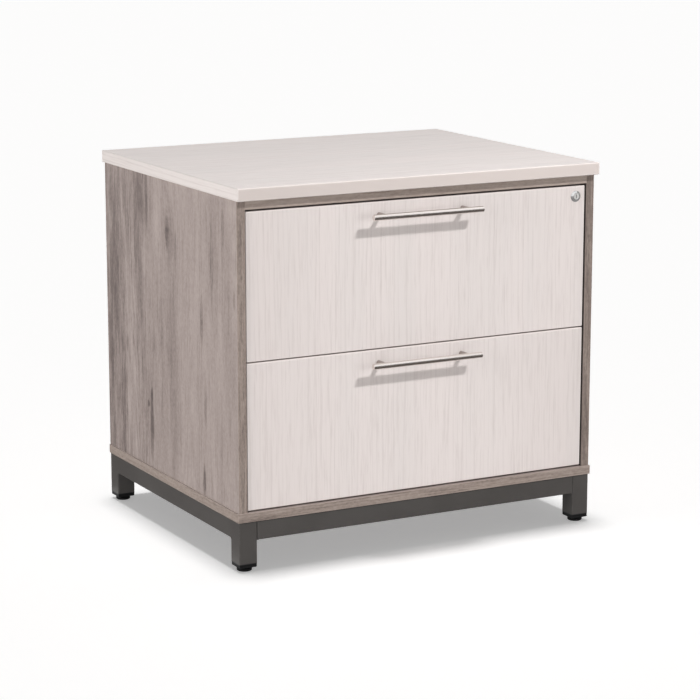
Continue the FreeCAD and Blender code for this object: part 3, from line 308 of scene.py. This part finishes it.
leftStreaksAndShade = [  # depth from the middle, height, half width, half length, strength, bend of the grain
    # the first, widest entry is painted shade that darkens the rear of the left side; the others are streaks and
    # knots of the wood
    (0.300, 0.420, 0.260, 0.700, 0.26, 0.0), (0.272, 0.450, 0.044, 0.300, 0.08, 0.0),
    (0.276, 0.460, 0.018, 0.170, 0.13, 0.0), (0.250, 0.220, 0.034, 0.190, 0.12, 0.0),
    (0.125, 0.700, 0.055, 0.110, 0.20, 0.0), (0.018, 0.645, 0.034, 0.110, 0.22, 0.5),
    (0.021, 0.630, 0.012, 0.046, 0.34, 0.6), (-0.019, 0.586, 0.008, 0.050, 0.20, 0.0),
    (-0.143, 0.466, 0.011, 0.060, 0.40, 0.6), (0.226, 0.358, 0.008, 0.024, 0.34, 0.4),
    (0.120, 0.250, 0.008, 0.010, 0.46, 0.6), (0.101, 0.273, 0.006, 0.018, 0.34, 0.4),
    (0.104, 0.212, 0.013, 0.090, 0.34, 0.3), (-0.149, 0.143, 0.010, 0.048, 0.44, 0.4),
    (-0.158, 0.315, 0.009, 0.075, 0.22, 0.0), (-0.288, 0.533, 0.007, 0.026, 0.34, 0.3),
    (-0.188, 0.590, 0.010, 0.120, 0.14, 0.0), (0.165, 0.560, 0.020, 0.200, 0.08, 0.0),
    (0.060, 0.480, 0.016, 0.150, 0.10, 0.0), (-0.240, 0.640, 0.010, 0.080, 0.14, 0.0),
]
rightStreaks = [
    (-0.200, 0.560, 0.030, 0.160, 0.20, 0.4), (-0.060, 0.300, 0.011, 0.070, 0.28, 0.5),
    (0.090, 0.470, 0.040, 0.220, 0.16, 0.0), (0.210, 0.620, 0.009, 0.052, 0.26, 0.4),
    (0.160, 0.210, 0.007, 0.020, 0.34, 0.5), (-0.250, 0.220, 0.010, 0.060, 0.22, 0.3),
    (0.280, 0.380, 0.030, 0.180, 0.18, 0.0), (0.010, 0.640, 0.008, 0.036, 0.24, 0.4),
    (-0.130, 0.180, 0.020, 0.120, 0.12, 0.0),
]


def oakFinish(name, piece, along, thick, seed, streaks=(), inward=0.0, settings=greyOak):
    material, start = newFinish(name)
    place = boardPlace(start, along, thick)
    recipes = settings["noise"]
    parts = {part: swing(place, recipes[part], seed) for part in settings["bend"]}
    push = weighted(parts, settings["bend"])
    at = split(objectPlace(start)) if streaks else None
    # dark streaks of the wood, plus the painted shade at the rear of the left side
    streaksAndShade = None
    for deep, high, halfWide, halfLong, strength, bend in streaks:
        stray = parts["sway"] * settings["streakSway"] + parts["curl"] * (halfWide * settings["streakCurl"])
        across = (at["y"] - deep + stray) / halfWide
        length = (at["z"] - high) / halfLong
        spot = ease(across * across + length * length, 0.0, 1.0, 1.0, 0.0)
        streaksAndShade = spot * strength if streaksAndShade is None else streaksAndShade + spot * strength
        if bend:  # grain that runs round a knot
            push = push - spot * across * (halfWide * bend)
    bent = moved(place, join(push, 0.0, 0.0))
    for part in settings["swings"]:
        parts[part] = swing(bent, recipes[part], seed)
    for part in settings["masks"]:
        parts[part] = layer(bent, recipes[part], seed)
    hills = layer(bent, recipes["hills"], seed) * settings["arches"]
    arch = ease(abs(hills.sum("FRACT", hills) - halfway), 0.0, halfway, 1.0, 0.0)
    parts["arches"] = arch * ease(parts["bands"], *settings["archRange"])
    level = settings["middle"] + weighted(parts, settings["levelBy"])
    if streaksAndShade is not None:
        level = level - streaksAndShade * ease(weighted(parts, settings["fringe"]), *settings["fringeRange"])
    facing = split(objectPlace(start).other("Normal"))
    onEdge = ease(abs(facing[thick]), *settings["edgeFacing"])  # edge bands are a shade darker
    level = level - onEdge * (settings["edgeDrop"] + weighted(parts, settings["edgeBy"]))
    tone = level.node("ValToRGB", {"stops": settings["tones"]}, {0: level})
    tone = blend(onEdge, tone, settings["edgeTint"], "MULTIPLY")
    if inward:  # painted shade: inside faces are darkened, standing in for the shade in the gaps round the drawers
        inside = ease(facing["x"] * inward, *settings["insideFacing"])
        tone = blend(inside * settings["insideDepth"], tone, settings["inside"])
    # edge wear and a painted highlight: a lighter line along the edges
    edgeWearAndPaintedLight = ease(edgeDistance(start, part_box(piece)), *settings["edgeWearAndPaintedLightRange"])
    tone = blend(edgeWearAndPaintedLight * settings["edgeWearAndPaintedLightDepth"], tone, settings["edgeWearAndPaintedLight"])
    closeFinish(start, Base_Color=tone, Roughness=settings["roughness"] + weighted(parts, settings["roughBy"]),
                Specular_IOR_Level=settings["gloss"],
                Normal=bumpFrom(weighted(parts, settings["heightBy"]), settings["bump"]))
    wear(piece, material)


# powder coat of the base
baseCoat = {
    "main": tint(79, 76, 74), "soft": tint(74, 71, 69), "edgeWearAndPaintedLight": tint(98, 95, 92), "dark": tint(26, 26, 27),
    "roughness": 0.48, "bump": 0.00006,
    "noise": {
        "peel": (520.0, 2.0, 0.5, 0),
        "cloud": (7.0, 2.0, 0.5, 2),
        "speck": (1500.0, 1.0, 0.5, 4, 0.64, 0.76),
        "rub": (60.0, 3.0, 0.6, 6, 0.40, 0.66),
    },
    "cloudRange": (0.35, 0.65), "speckDepth": 0.16, "edgeWearAndPaintedLightRange": (0.0, 0.0030, 1.0, 0.0), "edgeWearAndPaintedLightDepth": 0.55,
    "rim": (0.0160, 0.0172, 1.0, 0.0),  # height of the dark cut end of a leg
    "seam": (0.0014, 0.0004), "seamDepth": 0.7,  # distance from the end of a rail
    "roughBy": {"peel": 0.12, "cloud": 0.1, "edgeWearAndPaintedLight": -0.12},
}


def coatFinish(name, piece, seed, seamed=False, settings=baseCoat):
    material, start = newFinish(name)
    place = objectPlace(start)
    recipes = settings["noise"]
    peel = layer(place, recipes["peel"], seed)
    cloud = layer(place, recipes["cloud"], seed)
    edgeWearAndPaintedLight = ease(edgeDistance(start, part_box(piece)), *settings["edgeWearAndPaintedLightRange"]) * layer(place, recipes["rub"], seed)
    tone = blend(ease(cloud, *settings["cloudRange"]), settings["main"], settings["soft"])
    tone = blend(layer(place, recipes["speck"], seed) * settings["speckDepth"], tone, settings["edgeWearAndPaintedLight"])
    tone = blend(edgeWearAndPaintedLight * settings["edgeWearAndPaintedLightDepth"], tone, settings["edgeWearAndPaintedLight"])
    at = split(place)
    tone = blend(ease(at["z"], *settings["rim"]), tone, settings["dark"])
    if seamed:  # shadow line where a rail meets the legs
        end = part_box(piece)[1][0]
        inner, outer = (end - step for step in settings["seam"])
        tone = blend(ease(abs(at["x"]), inner, outer, 0.0, settings["seamDepth"]), tone, settings["dark"])
    unevenness = weighted({"peel": peel - halfway, "cloud": cloud - halfway, "edgeWearAndPaintedLight": edgeWearAndPaintedLight}, settings["roughBy"])
    closeFinish(start, Base_Color=tone, Roughness=settings["roughness"] + unevenness,
                Normal=bumpFrom(peel, settings["bump"]))
    wear(piece, material)


# moulded plastics: black caps and feet, grey file glides
mouldedPlastic = {
    "black": {"main": tint(24, 24, 25), "soft": tint(17, 17, 18), "rub": tint(40, 40, 41),
              "gloss": 0.15, "roughness": 0.52},
    "glide": {"main": tint(188, 188, 186), "soft": tint(176, 176, 174), "rub": tint(204, 204, 202),
              "gloss": 0.5, "roughness": 0.42},
    "noise": {
        "spark": (1400.0, 2.0, 0.5, 2),
        "cloud": (45.0, 3.0, 0.6, 4),
        "scuff": (160.0, 4.0, 0.7, 6, 0.58, 0.72),
    },
    "cloudRange": (0.35, 0.65), "scuffDepth": 0.35, "roughBy": {"cloud": 0.14, "spark": 0.1}, "bump": 0.00008,
}


def plasticFinish(name, pieces, kind, settings=mouldedPlastic):
    material, start = newFinish(name)
    place = objectPlace(start)
    colours = settings[kind]
    recipes = settings["noise"]
    spark = layer(place, recipes["spark"])
    cloud = layer(place, recipes["cloud"])
    tone = blend(ease(cloud, *settings["cloudRange"]), colours["main"], colours["soft"])
    tone = blend(layer(place, recipes["scuff"]) * settings["scuffDepth"], tone, colours["rub"])
    unevenness = weighted({"cloud": cloud - halfway, "spark": spark - halfway}, settings["roughBy"])
    closeFinish(start, Base_Color=tone, Roughness=colours["roughness"] + unevenness,
                Specular_IOR_Level=colours["gloss"], Normal=bumpFrom(spark, settings["bump"]))
    for piece in pieces:
        wear(piece, material)


# satin nickel of the bar handles
satinNickel = {
    "main": tint(242, 235, 231), "soft": tint(228, 220, 215), "rub": tint(248, 243, 240), "post": tint(176, 168, 163),
    "metal": 1.0, "roughness": 0.15, "bump": 0.00001,
    "noise": {
        "brushed": ((14.0, 2600.0, 2600.0), 2.0, 0.6, 1),
        "drawn": ((4.0, 700.0, 700.0), 2.0, 0.5, 3, 0.38, 0.62),
        "cloud": (24.0, 3.0, 0.6, 5),
        "prints": (55.0, 3.0, 0.6, 7, 0.56, 0.70),
    },
    "rubRange": (0.52, 0.68), "rubDepth": 0.4,
    "postFrom": (0.0115, 0.0135),  # metres behind the front of the bar
    "roughBy": {"brushed": 0.08, "cloud": 0.06, "prints": 0.04},
}


def nickelFinish(name, piece, settings=satinNickel):
    material, start = newFinish(name)
    place = objectPlace(start)
    recipes = settings["noise"]
    brushed = layer(place, recipes["brushed"])
    tone = blend(layer(place, recipes["drawn"]), settings["main"], settings["soft"])
    tone = blend(ease(brushed, *settings["rubRange"]) * settings["rubDepth"], tone, settings["rub"])
    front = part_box(piece)[0][1]
    behind = ease(split(place)["y"], *(front + step for step in settings["postFrom"]))
    tone = blend(behind, tone, settings["post"])
    parts = {"brushed": brushed - halfway, "cloud": swing(place, recipes["cloud"]),
             "prints": layer(place, recipes["prints"])}
    closeFinish(start, Base_Color=tone, Metallic=settings["metal"],
                Roughness=settings["roughness"] + weighted(parts, settings["roughBy"]),
                Normal=bumpFrom(brushed, settings["bump"]))
    wear(piece, material)


# zinc plated and plain steel of the slides, screws and rods
platedSteel = {
    "slide": {"main": tint(190, 192, 196), "soft": tint(172, 175, 182), "stain": tint(196, 190, 176),
              "metal": 0.50, "roughness": 0.3},
    "screw": {"main": tint(198, 199, 203), "soft": tint(176, 178, 184), "stain": tint(206, 198, 178),
              "metal": 0.60, "roughness": 0.26},
    "rod": {"main": tint(182, 184, 188), "soft": tint(164, 166, 172), "stain": tint(176, 172, 164),
            "metal": 0.50, "roughness": 0.28},
    "black": {"main": tint(52, 52, 54), "soft": tint(40, 40, 42), "stain": tint(74, 72, 70),
              "metal": 0.80, "roughness": 0.38},
    "ball": {"main": tint(208, 210, 214), "soft": tint(186, 189, 194), "stain": tint(190, 186, 176),
             "metal": 0.60, "roughness": 0.2},
    "noise": {
        "flow": (90.0, 3.0, 0.6, 3, 0.35, 0.65),
        "spangle": (420.0, 3.0, 0.6, 5),
        "stain": (30.0, 3.0, 0.6, 7, 0.54, 0.70),
        "scratch": ((1800.0, 20.0, 1800.0), 2.0, 0.5, 9, 0.62, 0.72),
    },
    "stainDepth": 0.35, "roughBy": {"spangle": 0.18, "stain": 0.08, "scratch": 0.1},
    "heightBy": {"spangle": 0.5, "scratch": -0.5}, "bump": 0.00002,
}


def steelFinish(name, pieces, kind, settings=platedSteel):
    material, start = newFinish(name)
    place = objectPlace(start)
    colours = settings[kind]
    recipes = settings["noise"]
    parts = {part: layer(place, recipes[part]) for part in ("stain", "scratch")}
    parts["spangle"] = swing(place, recipes["spangle"])
    tone = blend(layer(place, recipes["flow"]), colours["main"], colours["soft"])
    tone = blend(parts["stain"] * settings["stainDepth"], tone, colours["stain"])
    closeFinish(start, Base_Color=tone, Metallic=colours["metal"],
                Roughness=colours["roughness"] + weighted(parts, settings["roughBy"]),
                Normal=bumpFrom(weighted(parts, settings["heightBy"]), settings["bump"]))
    for piece in pieces:
        wear(piece, material)


# polished chrome of the lock
lockChrome = {
    "ring": {"main": tint(232, 232, 232), "soft": tint(214, 215, 216), "metal": 0.72, "roughness": 0.14},
    "plug": {"main": tint(238, 237, 235), "soft": tint(222, 221, 219), "metal": 0.38, "roughness": 0.30},
    # painted shade: the keyway is painted near black
    "keyholeShade": tint(22, 22, 23), "holeShadeFrom": (0.0002, 0.0009),  # metres behind the front face
    "noise": {
        "haze": (160.0, 3.0, 0.6, 2),
        "hair": ((2400.0, 2400.0, 60.0), 2.0, 0.6, 4, 0.60, 0.70),
    },
    "softRange": (0.35, 0.65), "hazeRange": (0.45, 0.75), "roughBy": {"haze": 0.07, "hair": 0.07}, "bump": 0.000004,
}


def chromeFinish(name, piece, kind, pierced=False, settings=lockChrome):
    material, start = newFinish(name)
    place = objectPlace(start)
    colours = settings[kind]
    haze = layer(place, settings["noise"]["haze"])
    hair = layer(place, settings["noise"]["hair"])
    tone = blend(ease(haze, *settings["softRange"]), colours["main"], colours["soft"])
    unevenness = weighted({"haze": ease(haze, *settings["hazeRange"]), "hair": hair}, settings["roughBy"])
    metal = colours["metal"]  # satin haze takes the rest
    # painted shade: the keyway behind the front face is painted near black and not metallic
    if pierced:  # the hole behind the front face
        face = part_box(piece)[0][1]
        holeShade = ease(split(place)["y"], *(face + step for step in settings["holeShadeFrom"]))
        tone = blend(holeShade, tone, settings["keyholeShade"])
        metal = metal - holeShade * metal
    closeFinish(start, Base_Color=tone, Metallic=metal, Roughness=colours["roughness"] + unevenness,
                Normal=bumpFrom(hair, settings["bump"]))
    wear(piece, material)


# hardboard of the drawer bottoms
hardboard = {
    "main": tint(212, 201, 193), "soft": tint(206, 194, 186), "fibre": tint(172, 158, 148),
    "roughness": 0.48, "bump": 0.00012,
    "noise": {
        "cloud": (9.0, 3.0, 0.6, 2, 0.35, 0.65),
        "felt": (420.0, 4.0, 0.7, 4),
        "fibre": (900.0, 2.0, 0.6, 6, 0.60, 0.74),
        "chip": (140.0, 2.0, 0.6, 8, 0.62, 0.74),
    },
    "feltRange": (0.5, 0.7), "feltDepth": 0.25, "fibreBy": {"fibre": 0.35, "chip": 0.12}, "feltRough": 0.2,
}


def hardboardFinish(name, pieces, settings=hardboard):
    material, start = newFinish(name)
    place = objectPlace(start)
    recipes = settings["noise"]
    felt = layer(place, recipes["felt"])
    tone = blend(layer(place, recipes["cloud"]), settings["main"], settings["soft"])
    tone = blend(ease(felt, *settings["feltRange"]) * settings["feltDepth"], tone, settings["fibre"])
    parts = {part: layer(place, recipes[part]) for part in settings["fibreBy"]}
    tone = blend(weighted(parts, settings["fibreBy"]), tone, settings["fibre"])
    closeFinish(start, Base_Color=tone, Roughness=settings["roughness"] + (felt - halfway) * settings["feltRough"],
                Normal=bumpFrom(felt, settings["bump"]))
    for piece in pieces:
        wear(piece, material)


# wrapped board of the drawer boxes
boxBoard = {
    "light": tint(222, 212, 205), "shade": tint(213, 202, 194), "line": tint(188, 175, 166),
    "core": tint(176, 150, 122), "roughness": 0.46, "bump": 0.0001,
    "noise": {
        "patch": ((10.0, 10.0, 1.0), 2.0, 0.5, 0, 0.35, 0.65),
        "fine": ((260.0, 260.0, 5.0), 3.0, 0.6, 2),
        "linen": (900.0, 1.0, 0.5, 4),
        "rub": (70.0, 3.0, 0.6, 6, 0.5, 0.7),
    },
    "fineRange": (0.5, 0.7), "fineDepth": 0.3, "fineRough": 0.16,
    "edgeWearAndPaintedLightRange": (0.0, 0.0014, 1.0, 0.0), "edgeWearAndPaintedLightDepth": 0.5, "heightBy": {"fine": 0.6, "linen": 0.4},
}


def boxFinish(name, piece, along, thick, seed, settings=boxBoard):
    material, start = newFinish(name)
    place = boardPlace(start, along, thick)
    recipes = settings["noise"]
    parts = {part: layer(place, recipes[part], seed) for part in settings["heightBy"]}
    tone = blend(layer(place, recipes["patch"], seed), settings["light"], settings["shade"])
    tone = blend(ease(parts["fine"], *settings["fineRange"]) * settings["fineDepth"], tone, settings["line"])
    edgeWearAndPaintedLight = ease(edgeDistance(start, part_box(piece)), *settings["edgeWearAndPaintedLightRange"]) * layer(place, recipes["rub"], seed)
    tone = blend(edgeWearAndPaintedLight * settings["edgeWearAndPaintedLightDepth"], tone, settings["core"])
    roughness = settings["roughness"] + (parts["fine"] - halfway) * settings["fineRough"]
    closeFinish(start, Base_Color=tone, Roughness=roughness,
                Normal=bumpFrom(weighted(parts, settings["heightBy"]), settings["bump"]))
    wear(piece, material)


laminateFinish("topLaminate", "top_panel", along="x", thick="z", seed=11.0, banded=0.8,
               settings=dict(paleLaminate, edge=tint(217, 209, 205)))
laminateFinish("upperFrontLaminate", "upper_drawer_front", along="z", thick="y", seed=23.0, paintedEndShades=(0.17, 0.05))
laminateFinish("lowerFrontLaminate", "lower_drawer_front", along="z", thick="y", seed=23.0, paintedEndShades=(0.13, 0.16))
oakFinish("leftSideOak", "left_side_panel", along="z", thick="x", seed=31.0, streaks=leftStreaksAndShade, inward=1.0)
oakFinish("rightSideOak", "right_side_panel", along="z", thick="x", seed=47.0, streaks=rightStreaks, inward=-1.0,
          settings=dict(greyOak, edgeDrop=0.25))
oakFinish("bottomOak", "bottom_panel", along="x", thick="z", seed=53.0, settings=dict(greyOak, edgeDrop=0.11))
oakFinish("backOak", "back_panel", along="z", thick="y", seed=83.0, settings=dict(greyOak, middle=0.55))
# painted light: the sub-top is a lighter copy of the oak, lifting the shade under the top's overhang
oakFinish("subTopOakPaintedLight", "sub_top_panel", along="x", thick="z", seed=59.0,
          settings=dict(greyOak, middle=0.62, edgeDrop=-0.01))
print("board finishes done")

for count, piece in enumerate(("left_leg_frame", "right_leg_frame", "front_base_rail", "rear_base_rail")):
    coatFinish("baseCoat_" + piece, piece, seed=count * 5.0, seamed=piece.endswith("rail"))
feet = [corner + "_foot" for corner in ("front_left", "front_right", "rear_left", "rear_right")]
plasticFinish("blackPlastic", ["leg_end_caps"] + feet, "black")
drawers = ("upper", "lower")


def ofDrawers(*kinds):  # the pieces of these kinds in both drawers
    return [drawer + kind for drawer in drawers for kind in kinds]


plasticFinish("glidePlastic", ofDrawers("_file_glides"), "glide")
for drawer in drawers:
    nickelFinish(drawer + "HandleNickel", drawer + "_handle")
steelFinish("slideZinc", ["outer_slides", "lock_strike"] + ofDrawers("_middle_slides", "_inner_slides"), "slide")
steelFinish("cageSteel", ofDrawers("_outer_ball_cages", "_inner_ball_cages"), "ball")
steelFinish("screwZinc", ["cam_fittings", "cam_bolts", "top_screws", "cabinet_screws", "lock_nut", "lock_cam",
                          "lock_cam_screw"] + ofDrawers("_handle_screws", "_slide_screws", "_box_screws"), "screw")
steelFinish("blackBolts", ["base_bolts", "rail_bolts"], "black")
steelFinish("rodSteel", ofDrawers("_file_rods"), "rod")
chromeFinish("ringChrome", "lock_barrel", "ring")
chromeFinish("plugChrome", "lock_plug", "plug", pierced=True)
hardboardFinish("trayHardboard", ofDrawers("_box_bottom"))
for drawer in drawers:
    boxFinish(drawer + "BoxFrontBoard", drawer + "_box_front", along="x", thick="y", seed=61.0)
    boxFinish(drawer + "BoxBackBoard", drawer + "_box_back", along="x", thick="y", seed=67.0)
    boxFinish(drawer + "BoxLeftBoard", drawer + "_box_left_side", along="y", thick="x", seed=71.0)
    boxFinish(drawer + "BoxRightBoard", drawer + "_box_right_side", along="y", thick="x", seed=73.0)
print("metal, plastic and box finishes done")


def inSight(start):  # rays that show the plain white room: camera, gloss and glass
    path = start.node("LightPath")
    return most(most(path, path.other("Is Glossy Ray")), path.other("Is Transmission Ray"))


# pale floor that goes white away from the cabinet's shadow
floorSet = {"half": 40.0, "colour": (0.9, 0.9, 0.9, 1.0), "lift": 0.345}


def makeFloor(settings=floorSet):
    half = settings["half"]
    mesh = bpy.data.meshes.new("studioFloor")
    mesh.from_pydata([(-half, -half, 0), (half, -half, 0), (half, half, 0), (-half, half, 0)], [], [(0, 1, 2, 3)])
    floor = bpy.data.objects.new("studioFloor", mesh)
    scene.collection.objects.link(floor)
    material, start = newFinish("paleFloor")
    plain = start.node("BsdfDiffuse", None, {"Color": settings["colour"]})
    glow = start.node("Emission", None, {"Strength": settings["lift"]})
    lifted = start.node("AddShader", None, {0: plain, 1: glow})
    above = start.node("MixShader", None, {0: inSight(start), 1: plain, 2: lifted})
    under = start.node("NewGeometry", None, None, "Backfacing")  # clear from below
    clear = start.node("BsdfTransparent")
    start.node("OutputMaterial", None, {"Surface": start.node("MixShader", None, {0: under, 1: above, 2: clear})})
    mesh.materials.append(material)
    return floor


# white room, which lights the cabinet only faintly
worldSet = {"colour": (1.0, 0.97, 0.94, 1.0), "level": 0.14, "white": (1.0, 1.0, 1.0, 1.0), "whiteLevel": 1.0}


def makeWorld(settings=worldSet):
    world = bpy.data.worlds.new("studioWorld")
    world.use_nodes = True
    world.node_tree.nodes.clear()
    start = Wire(world.node_tree)
    dome = start.node("Background", None, {"Color": settings["colour"], "Strength": settings["level"]})
    white = start.node("Background", None, {"Color": settings["white"], "Strength": settings["whiteLevel"]})
    both = start.node("MixShader", None, {0: inSight(start), 1: dome, 2: white})
    start.node("OutputWorld", None, {"Surface": both})
    scene.world = world


# lamps: place, aim, size and the level they give a white card that faces them
lamps = {
    "keyLamp": {"place": (5.75, -9.55, 10.83), "aim": (0.0, -0.3, 0.45), "size": (1.75, 0.63), "level": 0.63},
    "frontLamp": {"place": (1.7, -3.6, 0.9), "aim": (0.0, -0.3, 0.4), "size": (1.6, 1.2), "level": 0.155},
    "leftLamp": {"place": (-3.6, -0.7, 1.2), "aim": (-0.2, 0.0, 0.4), "size": (2.0, 1.6), "level": 0.68},
    "backLamp": {"place": (1.2, 5.5, 0.4), "aim": (0.0, 0.3, 0.4), "size": (2.4, 0.6), "level": 0.60},
    "topLamp": {"place": (0.45, -1.35, 1.6), "aim": (0.0, -0.2, 0.75), "size": (0.6, 0.6), "level": 0.46,
                "only": "top_panel"},
}
overhead = {"level": 0.562, "angle": 8.0, "back": 1.8, "right": 0.1, "high": 5.0}  # lights the floor alone


def receivers(name, piece, state="INCLUDE"):
    group = bpy.data.collections.new(name)
    group.objects.link(piece)
    group.collection_objects[0].light_linking.link_state = state
    return group


def makeLamps(floor):
    offFloor = receivers("offFloor", floor, "EXCLUDE")
    for name, settings in lamps.items():
        lamp = bpy.data.lights.new(name, "AREA")
        lamp.shape = "RECTANGLE"
        lamp.size, lamp.size_y = settings["size"]
        holder = bpy.data.objects.new(name, lamp)
        holder.location = settings["place"]
        gap = Vector(settings["aim"]) - Vector(settings["place"])
        holder.rotation_euler = gap.to_track_quat("-Z", "Y").to_euler()
        lamp.energy = settings["level"] * (math.pi * gap.length) ** 2
        holder.visible_glossy = False  # metal and gloss reflect the white room and the cards alone
        scene.collection.objects.link(holder)
        only = settings.get("only")
        holder.light_linking.receiver_collection = receivers(only, nodes[only]) if only else offFloor
    lamp = bpy.data.lights.new("overheadLamp", "SUN")
    lamp.angle = math.radians(overhead["angle"])
    lamp.energy = overhead["level"] * math.pi
    holder = bpy.data.objects.new("overheadLamp", lamp)
    holder.location = (0.0, 0.0, overhead["high"])
    holder.rotation_euler = (math.radians(-overhead["back"]), math.radians(overhead["right"]), 0.0)
    scene.collection.objects.link(holder)
    holder.light_linking.receiver_collection = receivers("floorOnly", floor)


# dark cards that the metal alone reflects: a ring on the floor round the cabinet, and two uprights
darkCard = {
    "low": 0.01, "inner": (-0.43, -0.31, 0.43, 0.36), "outer": (-10.0, -10.0, 10.0, 10.0),
    "uprights": [
        ((4.63, -10.0), (6.38, -10.0), 4.6),  # for the handles: two feet and the height
        ((2.00, -1.45), (2.00, 0.20), 2.4),  # for the lock
    ],
    "colour": (0.150, 0.136, 0.129, 1.0), "soft": (0.105, 0.096, 0.091, 1.0), "cloud": (0.6, 1.0, 0.5, 3),
}


def makeCard(settings=darkCard):
    low = settings["low"]

    def ringCorners(left, front, right, back):
        return [(left, front, low), (right, front, low), (right, back, low), (left, back, low)]
    inner = ringCorners(*settings["inner"])
    outer = ringCorners(*settings["outer"])
    panels = list(zip(inner, inner[1:] + inner[:1], outer[1:] + outer[:1], outer))
    for (x, y), (endX, endY), high in settings["uprights"]:
        panels.append(((x, y, low), (endX, endY, low), (endX, endY, high), (x, y, high)))
    corners = [corner for panel in panels for corner in panel]
    sides = len(inner)  # corners of each panel
    faces = [tuple(range(first, first + sides)) for first in range(0, len(corners), sides)]
    mesh = bpy.data.meshes.new("darkCard")
    mesh.from_pydata(corners, [], faces)
    card = bpy.data.objects.new("darkCard", mesh)
    scene.collection.objects.link(card)
    card.visible_camera = card.visible_diffuse = card.visible_shadow = card.visible_transmission = False
    material, start = newFinish("darkCard")
    colour = blend(layer(objectPlace(start), settings["cloud"]), settings["colour"], settings["soft"])
    start.node("OutputMaterial", None, {"Surface": start.node("Emission", None, {"Color": colour})})
    mesh.materials.append(material)


cameraSet = {"place": (-2.37672, -4.43897, 1.39912), "yaw": 28.202, "pitch": 11.827, "lens": 127.25,
             "sensor": 36.0, "sight": 200.0}


def makeCamera(settings=cameraSet):
    lens = bpy.data.cameras.new("photoCamera")
    lens.lens = settings["lens"]
    lens.sensor_width = settings["sensor"]
    lens.clip_end = settings["sight"]
    holder = bpy.data.objects.new("photoCamera", lens)
    holder.location = settings["place"]
    holder.rotation_euler = (math.radians(90.0 - settings["pitch"]), 0.0, math.radians(-settings["yaw"]))
    scene.collection.objects.link(holder)
    scene.camera = holder


floor = makeFloor()
makeWorld()
makeLamps(floor)
makeCard()
makeCamera()
print("floor, lamps and camera done")
